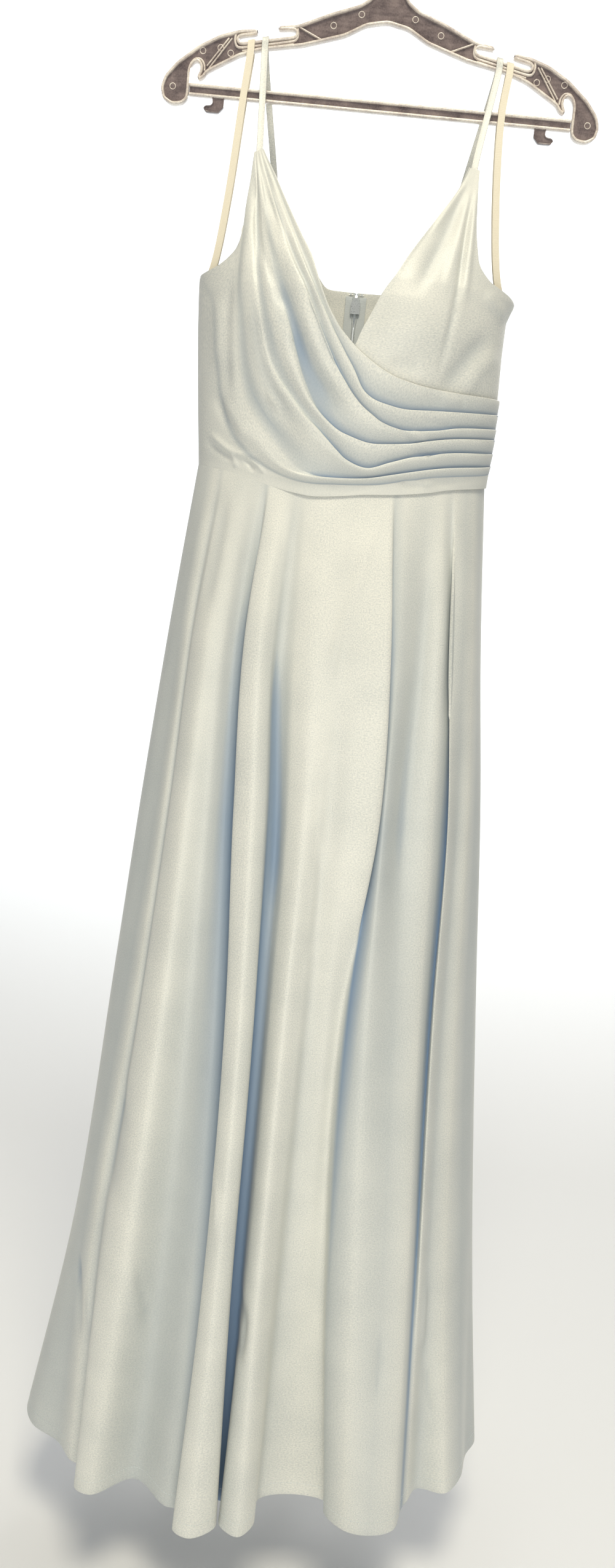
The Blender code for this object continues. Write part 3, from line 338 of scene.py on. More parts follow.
# Noise scales on the cloth's map: pebbled grain, threads across and down, and broad clouds.
GRAIN_SCALE, THREAD_SCALE, CLOUD_SCALE = 700.0, (1400.0, 260.0, 1.0), 16.0
GRAIN_TINT, CLOUD_TINT, MEAN_TINT = 3.0, 0.8, 0.55
# How fast the painted shade grows into grey-blue and into deep blue.
PAINTED_SHADE_GAIN, PAINTED_DEEP_SHADE_GAIN = 1.1, 2.0
SATIN_ROUGHNESS, THREAD_ROUGHNESS, GRAIN_ROUGHNESS = 0.50, 0.22, 0.15


def satin_finish(name):
    """Ice blue crepe-backed satin: a fine pebbled grain, short bright threads down the cloth, and
    painted shade, grey-blue and then deep blue, where it lies deep between folds."""
    satin = Finish(name, ior=1.48, metallic=0.08, sheen_weight=0.15, sheen_roughness=0.35,
                   sheen_tint=(1.0, 0.95, 0.84, 1.0))
    grain = satin.noise(satin.chart(), GRAIN_SCALE, 3.0, 0.7)
    threads = satin.noise(satin.chart(THREAD_SCALE), 1.0)
    clouds = satin.noise(satin.chart(), CLOUD_SCALE, 3.0)
    # The hollow attribute holds painted shade, 0 to 1: it darkens the colour to grey-blue and then deep
    # blue.
    depth = satin.node("ShaderNodeAttribute", {"attribute_name": "hollow"}, output=2)
    tint = (grain - 0.5) * GRAIN_TINT + (clouds - 0.5) * CLOUD_TINT + MEAN_TINT
    colour_with_painted_shade = satin.mix(depth * PAINTED_SHADE_GAIN, satin.mix(tint, SATIN_DARK, SATIN_LIGHT), SATIN_PAINTED_SHADE)
    uneven = (threads - 0.5) * THREAD_ROUGHNESS + (grain - 0.5) * GRAIN_ROUGHNESS
    satin.give(base_color=satin.mix(depth * PAINTED_DEEP_SHADE_GAIN - 1.0, colour_with_painted_shade, SATIN_PAINTED_DEEP_SHADE),
               roughness=uneven + SATIN_ROUGHNESS,
               normal=satin.bump(grain * 0.7 + threads * 0.5, 0.0005, 0.38))
    return satin.material


satin = satin_finish("ice blue satin")

UNDER_NECK = [(9.1, -24.8), (8.3, -26.8), (6.1, -30.6), (4.0, -34.1), (3.0, -36.0), (2.0, -37.6),
              (1.0, -39.8), (0.3, -41.3), (-0.2, -42.7), (-0.8, -44.0), (-1.2, -45.2)]
UNDER_ARMHOLE = [(10.1, -24.9), (10.1, -26.6), (10.2, -30.0), (10.5, -32.2), (10.9, -33.9), (12.0, -35.1),
                 (12.9, -35.5), (14.3, -35.9), (SIDE, -36.4)]
UNDER_SEAM_END_Z = -47.4
# Its rows run from a share of the neckline's length to a share of the armhole's, then of the seam's.
UNDER_ROWS = [(0.0, 0.0, 0), (0.06, 0.06, 0), (0.15, 0.15, 0), (0.26, 0.25, 0), (0.37, 0.34, 0),
              (0.49, 0.43, 0), (0.58, 0.52, 0), (0.65, 0.61, 0), (0.71, 0.74, 0), (0.77, 1.0, 0),
              (0.83, 1.0, 0.2), (0.89, 1.0, 0.45), (0.95, 1.0, 0.72), (1.0, 1.0, 1.0)]
UNDER_FINE = (90, 70)
NECK_ROLL, NECK_ROLL_WIDE = 0.06, 0.03
UNDER_CREASES = crease_table(
    (0.7, -0.28, (9.3, -25.6), (8.2, -29.0), (6.6, -33.5), (4.6, -38.5)),
    (0.5, 0.22, (9.6, -25.6), (8.9, -29.5), (8.2, -34.0), (7.6, -38.0)),
    (0.28, -0.30, (9.8, -25.6), (9.4, -29.0), (9.1, -34.0), (8.8, -39.0), (7.7, -45.8)),
    (0.35, 0.24, (9.9, -26.0), (9.8, -30.0), (9.7, -35.0), (9.5, -39.5)),
    (0.35, 0.16, (9.2, -25.4), (7.6, -28.6), (5.6, -32.4)),
    (0.22, -0.10, (9.0, -25.4), (7.4, -28.2), (5.8, -31.0)),
    (0.9, -0.30, (13.6, -39.4), (11.6, -41.4), (9.4, -44.6), (8.0, -46.6)),
    (0.7, 0.20, (14.2, -41.2), (12.2, -43.2), (10.6, -46.2)),
    (0.7, 0.22, (11.6, -36.2), (12.6, -37.0), (14.4, -38.0)),
    (0.9, -0.16, (6.4, -43.6), (4.8, -44.2), (3.0, -43.6)),
)


def under_front_grid():
    """The under front's points, from its strap down to the edge that the wrap hides."""
    rows = np.array(UNDER_ROWS)
    places = np.linspace(0, len(rows) - 1, UNDER_FINE[0])
    neck_share, arm_share, seam_share = (np.interp(places, range(len(rows)), column) for column in rows.T)
    across = np.linspace(0, 1, UNDER_FINE[1])
    necks = curve_through(unrolled(UNDER_NECK), neck_share)
    arms = curve_through(unrolled(UNDER_ARMHOLE), arm_share)
    arms[:, 1] += seam_share * (UNDER_SEAM_END_Z - UNDER_ARMHOLE[-1][1])
    line = necks[:, None] * (1 - across[:, None]) + arms[:, None] * across[:, None]
    edge = np.exp(-(across / NECK_ROLL_WIDE) ** 2) * NECK_ROLL
    return raised(line[..., 0] / UNROLL, line[..., 1], np.broadcast_to(edge, line.shape[:2]))


# Painted shade in the troughs of the creases, carried to the satin's colour.
under_grid, under_painted_shade = creased(under_front_grid(), UNDER_CREASES)
under_front = cloth("under_front", under_grid, 0.0012, satin, under_painted_shade)
dressed(under_front, "bodice_under")

# Wrapped front. One panel on the bias, gathered at the left strap. It crosses over the under
# front, and five pleats, their folds facing up, are pressed and caught in the right side seam.
# Each row below is the line of a fold, and step is how far the fold stands over the row above.
LEFT_ARMHOLE = [(-11.6, -25.1), (-11.7, -27.6), (-11.8, -29.9), (-11.8, -32.5), (-12.3, -34.3),
                (-13.4, -35.5), (-14.3, -36.0), (-15.3, -36.3), (-SIDE, -36.5)]
WrapRow = namedtuple("WrapRow", "name step points")
WRAP_ROWS = [
    WrapRow("neckline", 0.22, [(-10.7, -24.8), (-9.3, -27.3), (-7.7, -30.3), (-6.1, -33.2),
        (-5.0, -35.1), (-4.0, -37.6), (-3.0, -39.7), (-2.0, -41.1), (-1.0, -42.1), (0.6, -43.4),
        (3.0, -44.8), (5.0, -45.4), (8.1, -45.8), (SIDE, -45.5)]),
    WrapRow("pleat_1", 0.26, [(-10.9, -24.9), (-9.5, -27.8), (-7.7, -31.6), (-6.2, -34.7), (-4.8, -37.4),
        (-3.7, -39.4), (-2.5, -41.4), (-1.0, -43.6), (0.0, -45.0), (1.0, -46.6), (2.0, -47.3), (3.5, -47.7),
        (5.0, -47.9), (8.1, -47.7), (SIDE, -46.8)]),
    WrapRow("pleat_2", 0.36, [(-11.1, -24.95), (-9.9, -28.4), (-8.3, -32.4), (-6.8, -35.6),
        (-5.2, -38.3), (-4.0, -40.6), (-3.0, -42.5), (-2.0, -44.2), (-1.0, -45.7), (0.0, -47.0),
        (1.0, -48.0), (2.0, -48.7), (3.0, -49.3), (5.1, -49.8), (8.1, -49.5), (10.3, -49.0), (SIDE, -48.2)]),
    WrapRow("pleat_3", 0.30, [(-11.35, -25.0), (-10.4, -29.5), (-9.7, -33.6), (-8.8, -37.3),
        (-7.6, -39.9), (-6.6, -42.0), (-5.8, -44.0), (-5.0, -46.0), (-4.0, -47.7), (-3.0, -48.8),
        (-2.0, -49.7), (-1.0, -50.4), (0.0, -50.8), (2.0, -51.3), (4.0, -51.2), (6.1, -50.9), (8.2, -50.4),
        (10.3, -50.0), (SIDE, -49.2)]),
    WrapRow("pleat_4", 0.40, [(-11.6, -25.1), (-11.0, -28.7), (-10.9, -32.2), (-10.5, -35.8),
        (-9.8, -40.0), (-9.2, -42.8), (-8.6, -44.6), (-7.6, -46.2), (-6.0, -47.8), (-4.0, -49.6),
        (-3.0, -50.4), (-2.0, -51.3), (-1.0, -52.2), (0.0, -53.0), (2.0, -53.6), (4.1, -52.9), (6.1, -52.2),
        (8.2, -51.7), (10.3, -51.3), (SIDE, -50.6)]),
    WrapRow("pleat_5", 0.34, [(-11.8, -32.5), (-12.1, -35.6), (-12.0, -39.6), (-11.6, -43.6),
        (-11.1, -47.2), (-10.2, -49.8), (-9.2, -51.0), (-8.1, -52.2), (-7.1, -53.2), (-6.1, -54.0),
        (-5.1, -54.5), (-4.0, -54.8), (0.0, -54.8), (2.0, -54.6), (4.1, -54.1), (6.1, -53.6), (8.2, -53.1),
        (10.3, -52.7), (SIDE, -51.8)]),
    WrapRow("underarm", 0.0, [(-SIDE, -36.5), (-14.6, -39.5), (-13.9, -44.0), (-13.2, -48.0),
        (-12.0, -51.2), (-10.2, -53.2), (-8.2, -54.4), (-6.1, -55.2), (-4.0, -55.6), (0.0, -55.5),
        (3.0, -55.2), (8.2, -54.0), (SIDE, -52.6)]),
    WrapRow("side", 0.0, [(-SIDE, -46.0), (-14.7, -48.0), (-13.8, -51.0), (-12.2, -53.0), (-10.2, -54.3),
        (-8.2, -55.1), (-4.0, -56.1), (0.0, -56.0), (3.0, -55.7), (8.2, -54.7), (SIDE, -53.3)]),
    WrapRow("waist", 0.0, [(-SIDE, -54.4), (-14.2, -54.6), (-10.3, -55.3), (-8.2, -55.9), (-6.1, -56.4),
        (-4.1, -56.7), (-3.0, -56.8), (0.0, -56.5), (2.0, -56.2), (5.1, -55.9), (8.2, -55.4), (10.3, -54.9),
        (12.6, -54.5), (SIDE, -54.0)]),
]
WRAP_LIFT = 0.24
LIFT_START, LIFT_RUN = -7.0, 4.0
SEAM_FROM, SEAM_RUN, SEAM_DROP = 20.0, 3.4, 0.10
FOLD_FULL_AT, FOLD_RISE = 0.35, 0.8
ARMHOLE_PULL = 12
# The rows of the left side start lower down the seam than the others, so their shares lag.
ROW_SHARES = (0.0, 0.27, 0.35, 0.46, 0.65, 1.0)
LAGGING = {"side": (0.0, 0.083, 0.166, 0.326, 0.57, 1.0), "waist": (0.0, 0.015, 0.04, 0.206, 0.50, 1.0)}
PRESS_FROM, PRESSED = 0.82, 0.15
# A fold's section, from the cloth tucked behind it, over its edge and down its face: the distance
# below the fold line where the fold is sharp, the share of the band where it is a soft roll, and
# the height as a share of its step.
FoldPoint = namedtuple("FoldPoint", "below soft height")
FOLD_SECTION = table(FoldPoint, (0.15, -0.16, 0.06), (0.09, -0.105, 0.30), (0.035, -0.05, 0.60),
                     (0.0, 0.0, 0.82), (0.025, 0.05, 0.95), (0.09, 0.10, 1.02), (0.20, 0.16, 1.0))
TUCKED_POINTS = 3
BAND_SHARES = (0.2, 0.3, 0.4, 0.5, 0.6, 0.7, 0.8, 0.88, 0.95)
SOFT_BAND = (0.20, 0.81)
ROLL_MEAN, ROLL_SWING, ROLL_TOP = 0.55, 0.45, 0.12
FACE_FALL, FACE_CURVE = 0.94, 1.1
FOLD_BAND_LIMIT = 0.16
LAST_PLEAT = 5
NARROWEST_BAND = 0.1
# How much shade is painted on a pleat's face and a soft roll, where that starts and how it grows.
FACE_PAINTED_SHADE, FACE_PAINTED_SHADE_FROM, FACE_PAINTED_SHADE_CURVE = 0.75, 0.15, 1.2
ROLL_PAINTED_SHADE, ROLL_PAINTED_SHADE_FROM, ROLL_PAINTED_SHADE_FALL = 0.8, 0.9, 2.0
# Folds are sharp at the side seam and soft rolls in the drape: where they change, round the body.
SHARP_FROM, SHARP_FULL = -7.0, 1.2
WRAP_PLAIN_ROWS = 16
WRAP_FINE_COLUMNS = 200
WRAP_CREASES = crease_table(
    # Gathers that fan out of the strap.
    (0.30, -0.16, (-11.0, -25.6), (-9.8, -29.4), (-8.2, -33.0)),
    (0.42, 0.20, (-11.2, -25.4), (-10.4, -29.0), (-9.3, -32.6), (-7.6, -36.4)),
    (0.40, -0.16, (-11.4, -26.0), (-11.0, -30.0), (-10.0, -34.2), (-8.4, -38.0)),
    (0.55, 0.20, (-11.5, -27.5), (-11.5, -32.0), (-11.4, -37.0), (-11.2, -42.0)),
    (0.30, 0.14, (-9.9, -28.0), (-8.4, -31.4), (-7.2, -34.2)),
    # The long valleys of the drape, left of each fold.
    (1.0, -0.42, (-9.2, -34.5), (-7.4, -39.4), (-5.4, -43.2), (-2.6, -47.2), (0.6, -50.2)),
    (0.75, -0.30, (-10.6, -37.0), (-9.9, -41.4), (-8.9, -45.2), (-6.6, -48.9), (-3.6, -51.8)),
    (0.5, -0.20, (-5.6, -37.4), (-4.2, -40.8), (-2.4, -44.2), (-0.8, -46.4)),
    (0.45, 0.14, (-7.8, -39.0), (-6.8, -41.4), (-6.0, -43.4)),
    # Smooth fall from the underarm, and the pulls of the left side.
    (0.9, 0.22, (-13.9, -38.0), (-13.4, -42.0), (-12.8, -46.0)),
    (0.5, -0.20, (-12.6, -36.4), (-12.7, -40.5), (-12.3, -45.6), (-11.6, -49.2)),
    (0.16, 0.14, (-8.4, -47.4), (-7.5, -48.4), (-6.5, -49.1)),
    (0.16, -0.10, (-8.8, -47.9), (-7.8, -48.9), (-6.9, -49.6)),
    (0.32, 0.20, (-14.2, -51.2), (-12.8, -52.2), (-11.2, -53.2), (-8.4, -53.5)),
    (0.30, -0.18, (-14.4, -52.0), (-12.6, -53.2), (-10.6, -54.1)),
    (0.22, 0.18, (-11.4, -53.3), (-10.9, -54.1), (-10.8, -54.8)),
    (0.20, -0.16, (-10.2, -53.9), (-9.4, -54.3), (-8.9, -55.1)),
    (0.20, 0.14, (-9.3, -53.9), (-8.4, -54.4), (-7.9, -55.2)),
    (0.5, -0.18, (-13.6, -47.6), (-12.2, -49.8), (-10.4, -51.8)),
    (0.45, 0.16, (-12.4, -48.0), (-11.0, -50.6), (-9.2, -52.4)),
    # Puckers on the pleats and along the waist.
    (0.26, -0.09, (4.7, -49.9), (5.6, -50.5), (6.3, -51.0)),
    (0.26, 0.09, (5.9, -49.8), (6.8, -50.3), (7.8, -50.5)),
    (0.45, -0.08, (6.8, -46.1), (7.6, -46.8), (9.0, -47.2)),
    (0.40, 0.07, (8.4, -46.0), (9.4, -46.6), (10.8, -46.6)),
    (0.26, -0.06, (10.2, -45.8), (10.8, -46.4), (11.1, -47.0)),
    (0.36, -0.06, (6.6, -48.5), (8.4, -48.9), (10.4, -48.7)),
    (0.34, -0.07, (5.8, -51.4), (7.4, -51.9), (9.2, -51.6)),
    (0.34, -0.09, (5.2, -54.2), (6.4, -54.9), (8.0, -54.7)),
    (0.30, 0.08, (6.4, -54.0), (7.6, -54.6), (9.2, -54.3)),
    (0.32, -0.07, (8.2, -53.8), (9.6, -54.4), (11.6, -54.0)),
    (0.50, -0.08, (-2.6, -55.6), (0.2, -55.9), (3.2, -55.4)),
)


def fold_strength(shares):
    """Pleat folds are sharp over most of their run and flatten towards the strap."""
    return np.clip(shares / FOLD_FULL_AT, 0.0, 1.0) ** FOLD_RISE


def wrap_lift(along):
    """How far the wrap stands over the body: clear of the under front, pressed flat at the seam."""
    seam = np.clip((along - SEAM_FROM) / SEAM_RUN, 0.0, 1.0)
    return WRAP_LIFT * smooth(along, LIFT_START, LIFT_START + LIFT_RUN) - SEAM_DROP * seam * seam


def soft_roll(share):
    """Height of a soft roll at a share of its band: highest just below the fold line."""
    return ROLL_MEAN + ROLL_SWING * np.cos(2 * pi * (share - ROLL_TOP))


def band_points(band, sharp, last):
    """Shares of a pleat's band and heights of its section, from tucked edge to next fold. The
    last pleat's face runs out flat where the others roll up to the next fold."""
    points = []
    for fold in FOLD_SECTION:
        share = fold.soft + (np.minimum(fold.below / band, FOLD_BAND_LIMIT) - fold.soft) * sharp
        height = soft_roll(fold.soft) + (fold.height - soft_roll(fold.soft)) * sharp
        points.append((share, height, fold.soft < 0))
    for share in BAND_SHARES:
        soft = np.interp(share, (BAND_SHARES[0], BAND_SHARES[-1]), SOFT_BAND)
        face = 1.0 - FACE_FALL * ((share - BAND_SHARES[0]) / (1 - BAND_SHARES[0])) ** FACE_CURVE
        height = face if last else soft_roll(soft) + (face - soft_roll(soft)) * sharp
        points.append((soft + (share - soft) * sharp, height, False))
    return points


def wrapped_front_grid():
    """The wrapped front's points, its rows following the folds, and the shade painted on each."""
    shares = np.linspace(0.0, 1.0, WRAP_FINE_COLUMNS)
    rows = []
    for row in WRAP_ROWS:
        lagged = np.interp(shares, ROW_SHARES, LAGGING.get(row.name, ROW_SHARES))
        rows.append(curve_through(unrolled(row.points), lagged))
    armhole = unrolled(LEFT_ARMHOLE)
    near = np.linalg.norm(curve_through(armhole, shares) - rows[LAST_PLEAT][0], axis=1)
    joint = shares[near.argmin()]
    armhole_bands = {LAST_PLEAT - 1: (0.0, joint), LAST_PLEAT: (joint, 1.0)}
    strength = fold_strength(shares)
    press = 1 - (1 - PRESSED) * smooth(shares, PRESS_FROM)
    grid, hollow = [], []
    for k, (row, upper, lower) in enumerate(zip(WRAP_ROWS, rows, rows[1:])):
        band = np.maximum(np.linalg.norm(lower - upper, axis=1), NARROWEST_BAND)
        sharp = smooth(upper[:, 0], SHARP_FROM, SHARP_FULL)
        # Nothing is tucked behind the neckline, and plain bands share the row between them.
        if row.step:
            steps = band_points(band, sharp, k == LAST_PLEAT)[0 if k else TUCKED_POINTS:]
        else:
            steps = [(t + 0 * shares, 0.0, False) for t in np.linspace(0, 1, WRAP_PLAIN_ROWS)]
            steps = steps[k > LAST_PLEAT + 1:]
        for t, share_of_step, tucked in steps:
            beyond = np.where(t[:, None] < 0, upper - rows[k - 1], lower - upper)
            line = upper + t[:, None] * beyond
            if k in armhole_bands and t[0] >= 0:
                start, end = armhole_bands[k]
                edge = curve_through(armhole, [start + (end - start) * t[0]])[0]
                line = line + (1 - shares[:, None]) ** ARMHOLE_PULL * (edge - line[0])
            height = row.step * share_of_step * strength * press + wrap_lift(line[:, 0])
            grid.append(raised(line[:, 0] / UNROLL, line[:, 1], height))
            # Painted shade: down each sharp pleat's face and behind its edge, and low in each soft roll.
            down = np.clip((t - FACE_PAINTED_SHADE_FROM) / (1 - FACE_PAINTED_SHADE_FROM), 0, 1)
            deep = (down ** FACE_PAINTED_SHADE_CURVE * FACE_PAINTED_SHADE + tucked) * sharp
            low = np.clip(ROLL_PAINTED_SHADE_FROM - ROLL_PAINTED_SHADE_FALL * np.asarray(share_of_step), 0, 1)
            hollow.append(np.clip(deep + low * (1 - sharp) * ROLL_PAINTED_SHADE, 0, 1) * strength * (row.step > 0))
    return np.array(grid), np.array(hollow)


wrap_grid, fold_painted_shade = wrapped_front_grid()
wrap_grid, crease_painted_shade = creased(wrap_grid, WRAP_CREASES)
wrapped_front = cloth("wrapped_front", wrap_grid, 0.0007, satin, np.clip(fold_painted_shade + crease_painted_shade, 0, 1))
dressed(wrapped_front, "bodice_wrap")

# Back bodice. Two plain satin panels, left and right, each rising to a strap point, their top edges
# turned in. The concealed zip joins them at the centre back: they are 4 mm apart down to its slider
# and close just below it.
BACK_TOP = [(0.0, -34.9), (1.5, -34.9), (3.2, -34.75), (4.2, -33.7), (5.6, -32.0), (7.2, -30.1),
            (8.5, -28.9), (9.5, -29.0), (10.2, -30.2), (11.1, -32.2), (12.3, -34.3), (13.6, -35.6),
            (14.6, -36.1), (SIDE, -36.4)]
BACK_WAIST_Z = -54.6
SPLIT_HALF = 0.22
SPLIT_CLOSED = 0.012
SPLIT_START_Z, SPLIT_END_Z = -36.6, -38.5
BACK_FINE = (70, 90)
# The top edge rolls outwards and the centre edge inwards: height, and the shares over which they do.
EDGE_ROLL, TOP_ROLL_WIDE, CENTRE_ROLL_WIDE = 0.05, 0.02, 0.012
CENTRE_EDGE_SHARES = [0.004, 0.012]
BACK_CREASES = crease_table(
    (0.7, 0.14, (-8.6, -30.4), (-7.6, -34.0), (-6.0, -38.4)),
    (0.9, -0.16, (-6.4, -36.0), (-5.2, -41.0), (-4.8, -46.0)),
    (0.8, -0.18, (-14.4, -39.0), (-11.6, -42.0), (-8.6, -44.4)),
    (0.8, 0.16, (-14.6, -47.0), (-11.0, -50.0), (-6.4, -51.6)),
    (0.7, 0.14, (7.4, -30.4), (6.6, -34.6), (5.2, -39.0)),
    (0.8, -0.16, (4.6, -37.4), (4.0, -42.6), (3.4, -47.0)),
    (0.8, -0.18, (13.6, -40.0), (10.6, -43.4), (7.0, -45.6)),
    (0.8, 0.16, (13.8, -48.6), (9.6, -51.0), (4.6, -52.4)),
    (0.6, -0.12, (1.4, -50.2), (4.4, -49.4), (7.0, -49.8)),
    (0.6, -0.12, (-2.0, -48.4), (-5.0, -49.4), (-7.6, -48.8)),
)


def back_waist_z(angle):
    """Height of the waist seam at an angle of the back."""
    right, left = WRAP_ROWS[-1].points[-1][1], WRAP_ROWS[-1].points[0][1]
    side = np.where(angle > 0, right, left)
    return side + (BACK_WAIST_Z - side) * np.sin(np.abs(angle) - pi / 2)


def centre_split(z, closed=SPLIT_CLOSED):
    """Half the gap at the centre back, from open at the slider to closed just below it."""
    share = np.clip((z - SPLIT_END_Z) / (SPLIT_START_Z - SPLIT_END_Z), 0, 1)
    return closed + (SPLIT_HALF - closed) * share


def back_panel_grid(hand):
    """One back panel's points, from the centre back to its side seam; hand is 1 on the right."""
    edge = np.array([(hand * pi - body_angle(CENTRE_X + hand * across, z), z) for across, z in BACK_TOP])
    places = np.sort(np.concatenate([np.linspace(0, 1, BACK_FINE[1]), CENTRE_EDGE_SHARES]))
    top = curve_through(edge * (UNROLL, 1.0), places) / (UNROLL, 1.0)
    down = np.linspace(0, 1, BACK_FINE[0])[:, None]
    z = top[:, 1] + (back_waist_z(top[:, 0]) - top[:, 1]) * down
    roll = np.exp(-(down / TOP_ROLL_WIDE) ** 2) - np.exp(-(places / CENTRE_ROLL_WIDE) ** 2)
    grid = raised(np.broadcast_to(top[:, 0], z.shape), z, roll * EDGE_ROLL)
    grid[:, 0, 0] = CENTRE_X + hand * centre_split(z[:, 0])
    return grid[:, ::-1] if hand > 0 else grid


for side, hand in (("left", -1), ("right", 1)):
    # Painted shade in the troughs of the back's creases.
    panel_grid, panel_painted_shade = creased(back_panel_grid(hand), BACK_CREASES, front_only=False)
    panel = cloth("back_panel_" + side, panel_grid, 0.0011, satin, panel_painted_shade)
    dressed(panel, "bodice_back_" + side)

# Skirt. A flared front panel whose fullness is laid in folds and pleats at the waist seam, and
# two flared back panels that hang in flutes. Floor length, with a narrow rolled hem. Each row
# below is the line of one fold, from its place on the waist seam down to the hem.
HEM_Z = -166.0
SKIRT_LEVELS = (-70.0, -88.0, -108.0, -140.0, HEM_Z)
Fold = namedtuple("Fold", "name waist hip thigh knee calf hem")
FRONT_FOLDS = table(
    Fold,
    ("left side seam", -SIDE, (-16.7, 0.5), (-18.3, 0.8), (-20.0, 1.0), (-22.9, 1.0), (-27.2, 0.8)),
    ("left side crest", -14.6, (-16.2, -2.4), (-17.9, -2.8), (-19.5, -3.0), (-22.3, -3.0), (-25.8, -2.9)),
    ("left side line", -13.7, (-15.0, -4.3), (-16.1, -5.2), (-17.8, -5.8), (-20.8, -6.0), (-22.2, -5.4)),
    ("left front edge", -12.8, (-14.2, -5.4), (-15.2, -6.4), (-16.6, -7.4), (-19.6, -7.9), (-20.3, -8.0)),
    ("left tuck", -12.2, (-13.7, -5.7), (-14.6, -6.6), (-15.9, -7.8), (-18.5, -8.7), (-18.7, -9.0)),
    ("wide fold edge", -11.8, (-13.4, -6.6), (-14.4, -7.9), (-15.6, -9.4), (-17.8, -11.4), (-19.0, -12.0)),
    ("wide fold crest", -10.6, (-12.0, -8.1), (-12.8, -9.6), (-13.4, -11.4), (-15.2, -13.0), (-17.0, -12.9)),
    ("wide fold hollow", -9.2, (-10.3, -8.3), (-10.5, -9.3), (-10.6, -10.4), (-11.4, -10.6), (-12.6, -9.9)),
    ("wide fold end", -8.1, (-9.1, -8.8), (-8.8, -9.9), (-8.0, -11.4), (-8.0, -12.5), (-8.8, -13.4)),
    ("left pleat tuck", -7.5, (-7.8, -8.3), (-7.4, -9.4), (-6.4, -10.8), (-6.4, -12.6), (-6.9, -13.9)),
    ("left pleat edge", -7.1, (-8.2, -9.5), (-7.8, -10.9), (-6.8, -12.5), (-6.6, -14.8), (-7.5, -16.6)),
    ("left pleat crest", -5.9, (-6.6, -10.3), (-5.9, -12.0), (-5.2, -13.8), (-5.2, -16.2), (-5.6, -17.6)),
    ("left pleat fall", -5.0, (-5.4, -9.7), (-4.6, -11.3), (-3.9, -12.8), (-3.6, -15.0), (-2.9, -15.6)),
    ("deep valley left", -4.5, (-4.9, -9.2), (-4.2, -10.1), (-3.9, -10.9), (-3.8, -11.8), (-3.8, -12.0)),
    ("deep valley right", -4.0, (-4.2, -9.1), (-3.3, -9.9), (-2.9, -10.7), (-2.7, -11.8), (-2.3, -12.2)),
    ("centre fold edge", -3.4, (-3.2, -9.7), (-2.3, -10.9), (-2.2, -12.2), (-2.1, -14.6), (-2.6, -15.3)),
    ("centre fold crest", -2.0, (-1.6, -10.2), (-0.8, -11.7), (-0.8, -13.4), (-0.8, -15.8), (-0.5, -16.8)),
    ("centre fold fall", 0.0, (0.3, -10.3), (0.7, -11.5), (0.8, -12.5), (0.7, -14.2), (1.1, -15.0)),
    ("panel start", 1.2, (1.4, -10.3), (1.7, -11.3), (1.7, -11.7), (1.7, -11.8), (1.5, -11.2)),
    ("panel middle", 3.2, (3.4, -10.4), (3.8, -11.6), (3.6, -11.8), (4.2, -11.3), (5.0, -10.0)),
    ("panel edge", 4.8, (6.1, -10.4), (6.8, -11.3), (5.0, -11.4), (6.2, -11.3), (8.9, -10.6)),
    ("right pleat edge", 5.2, (5.9, -9.5), (6.4, -10.2), (5.7, -12.1), (6.7, -13.0), (8.8, -12.3)),
    ("right pleat crest", 6.2, (7.0, -9.4), (7.2, -11.1), (7.5, -12.9), (9.2, -14.4), (11.0, -14.5)),
    ("right hollow", 8.2, (9.0, -8.1), (9.2, -9.4), (10.3, -11.6), (12.4, -13.7), (13.6, -14.9)),
    ("right crest", 9.8, (11.2, -8.0), (12.2, -9.1), (13.0, -10.7), (15.0, -12.7), (16.4, -13.8)),
    ("right tuck", 10.7, (12.4, -6.7), (13.9, -7.4), (14.4, -8.7), (16.1, -10.2), (17.5, -10.6)),
    ("right edge", 11.2, (12.1, -7.6), (13.9, -8.4), (14.6, -9.7), (16.5, -10.4), (18.2, -9.4)),
    ("right line", 12.3, (13.5, -6.4), (15.0, -6.5), (15.8, -7.7), (17.6, -8.6), (19.5, -7.3)),
    ("right side crest", 13.1, (14.6, -5.1), (16.2, -5.6), (17.3, -6.6), (19.6, -7.4), (22.6, -7.7)),
    ("right side line", 13.8, (15.4, -3.2), (17.2, -3.6), (18.6, -4.2), (21.8, -4.6), (24.7, -5.0)),
    ("right side fall", 14.3, (15.9, -1.2), (18.0, -1.5), (19.8, -1.8), (23.0, -1.8), (25.7, -1.3)),
    ("right side seam", SIDE, (16.1, 0.8), (18.2, 1.0), (20.2, 1.2), (23.7, 1.4), (27.2, 1.8)))
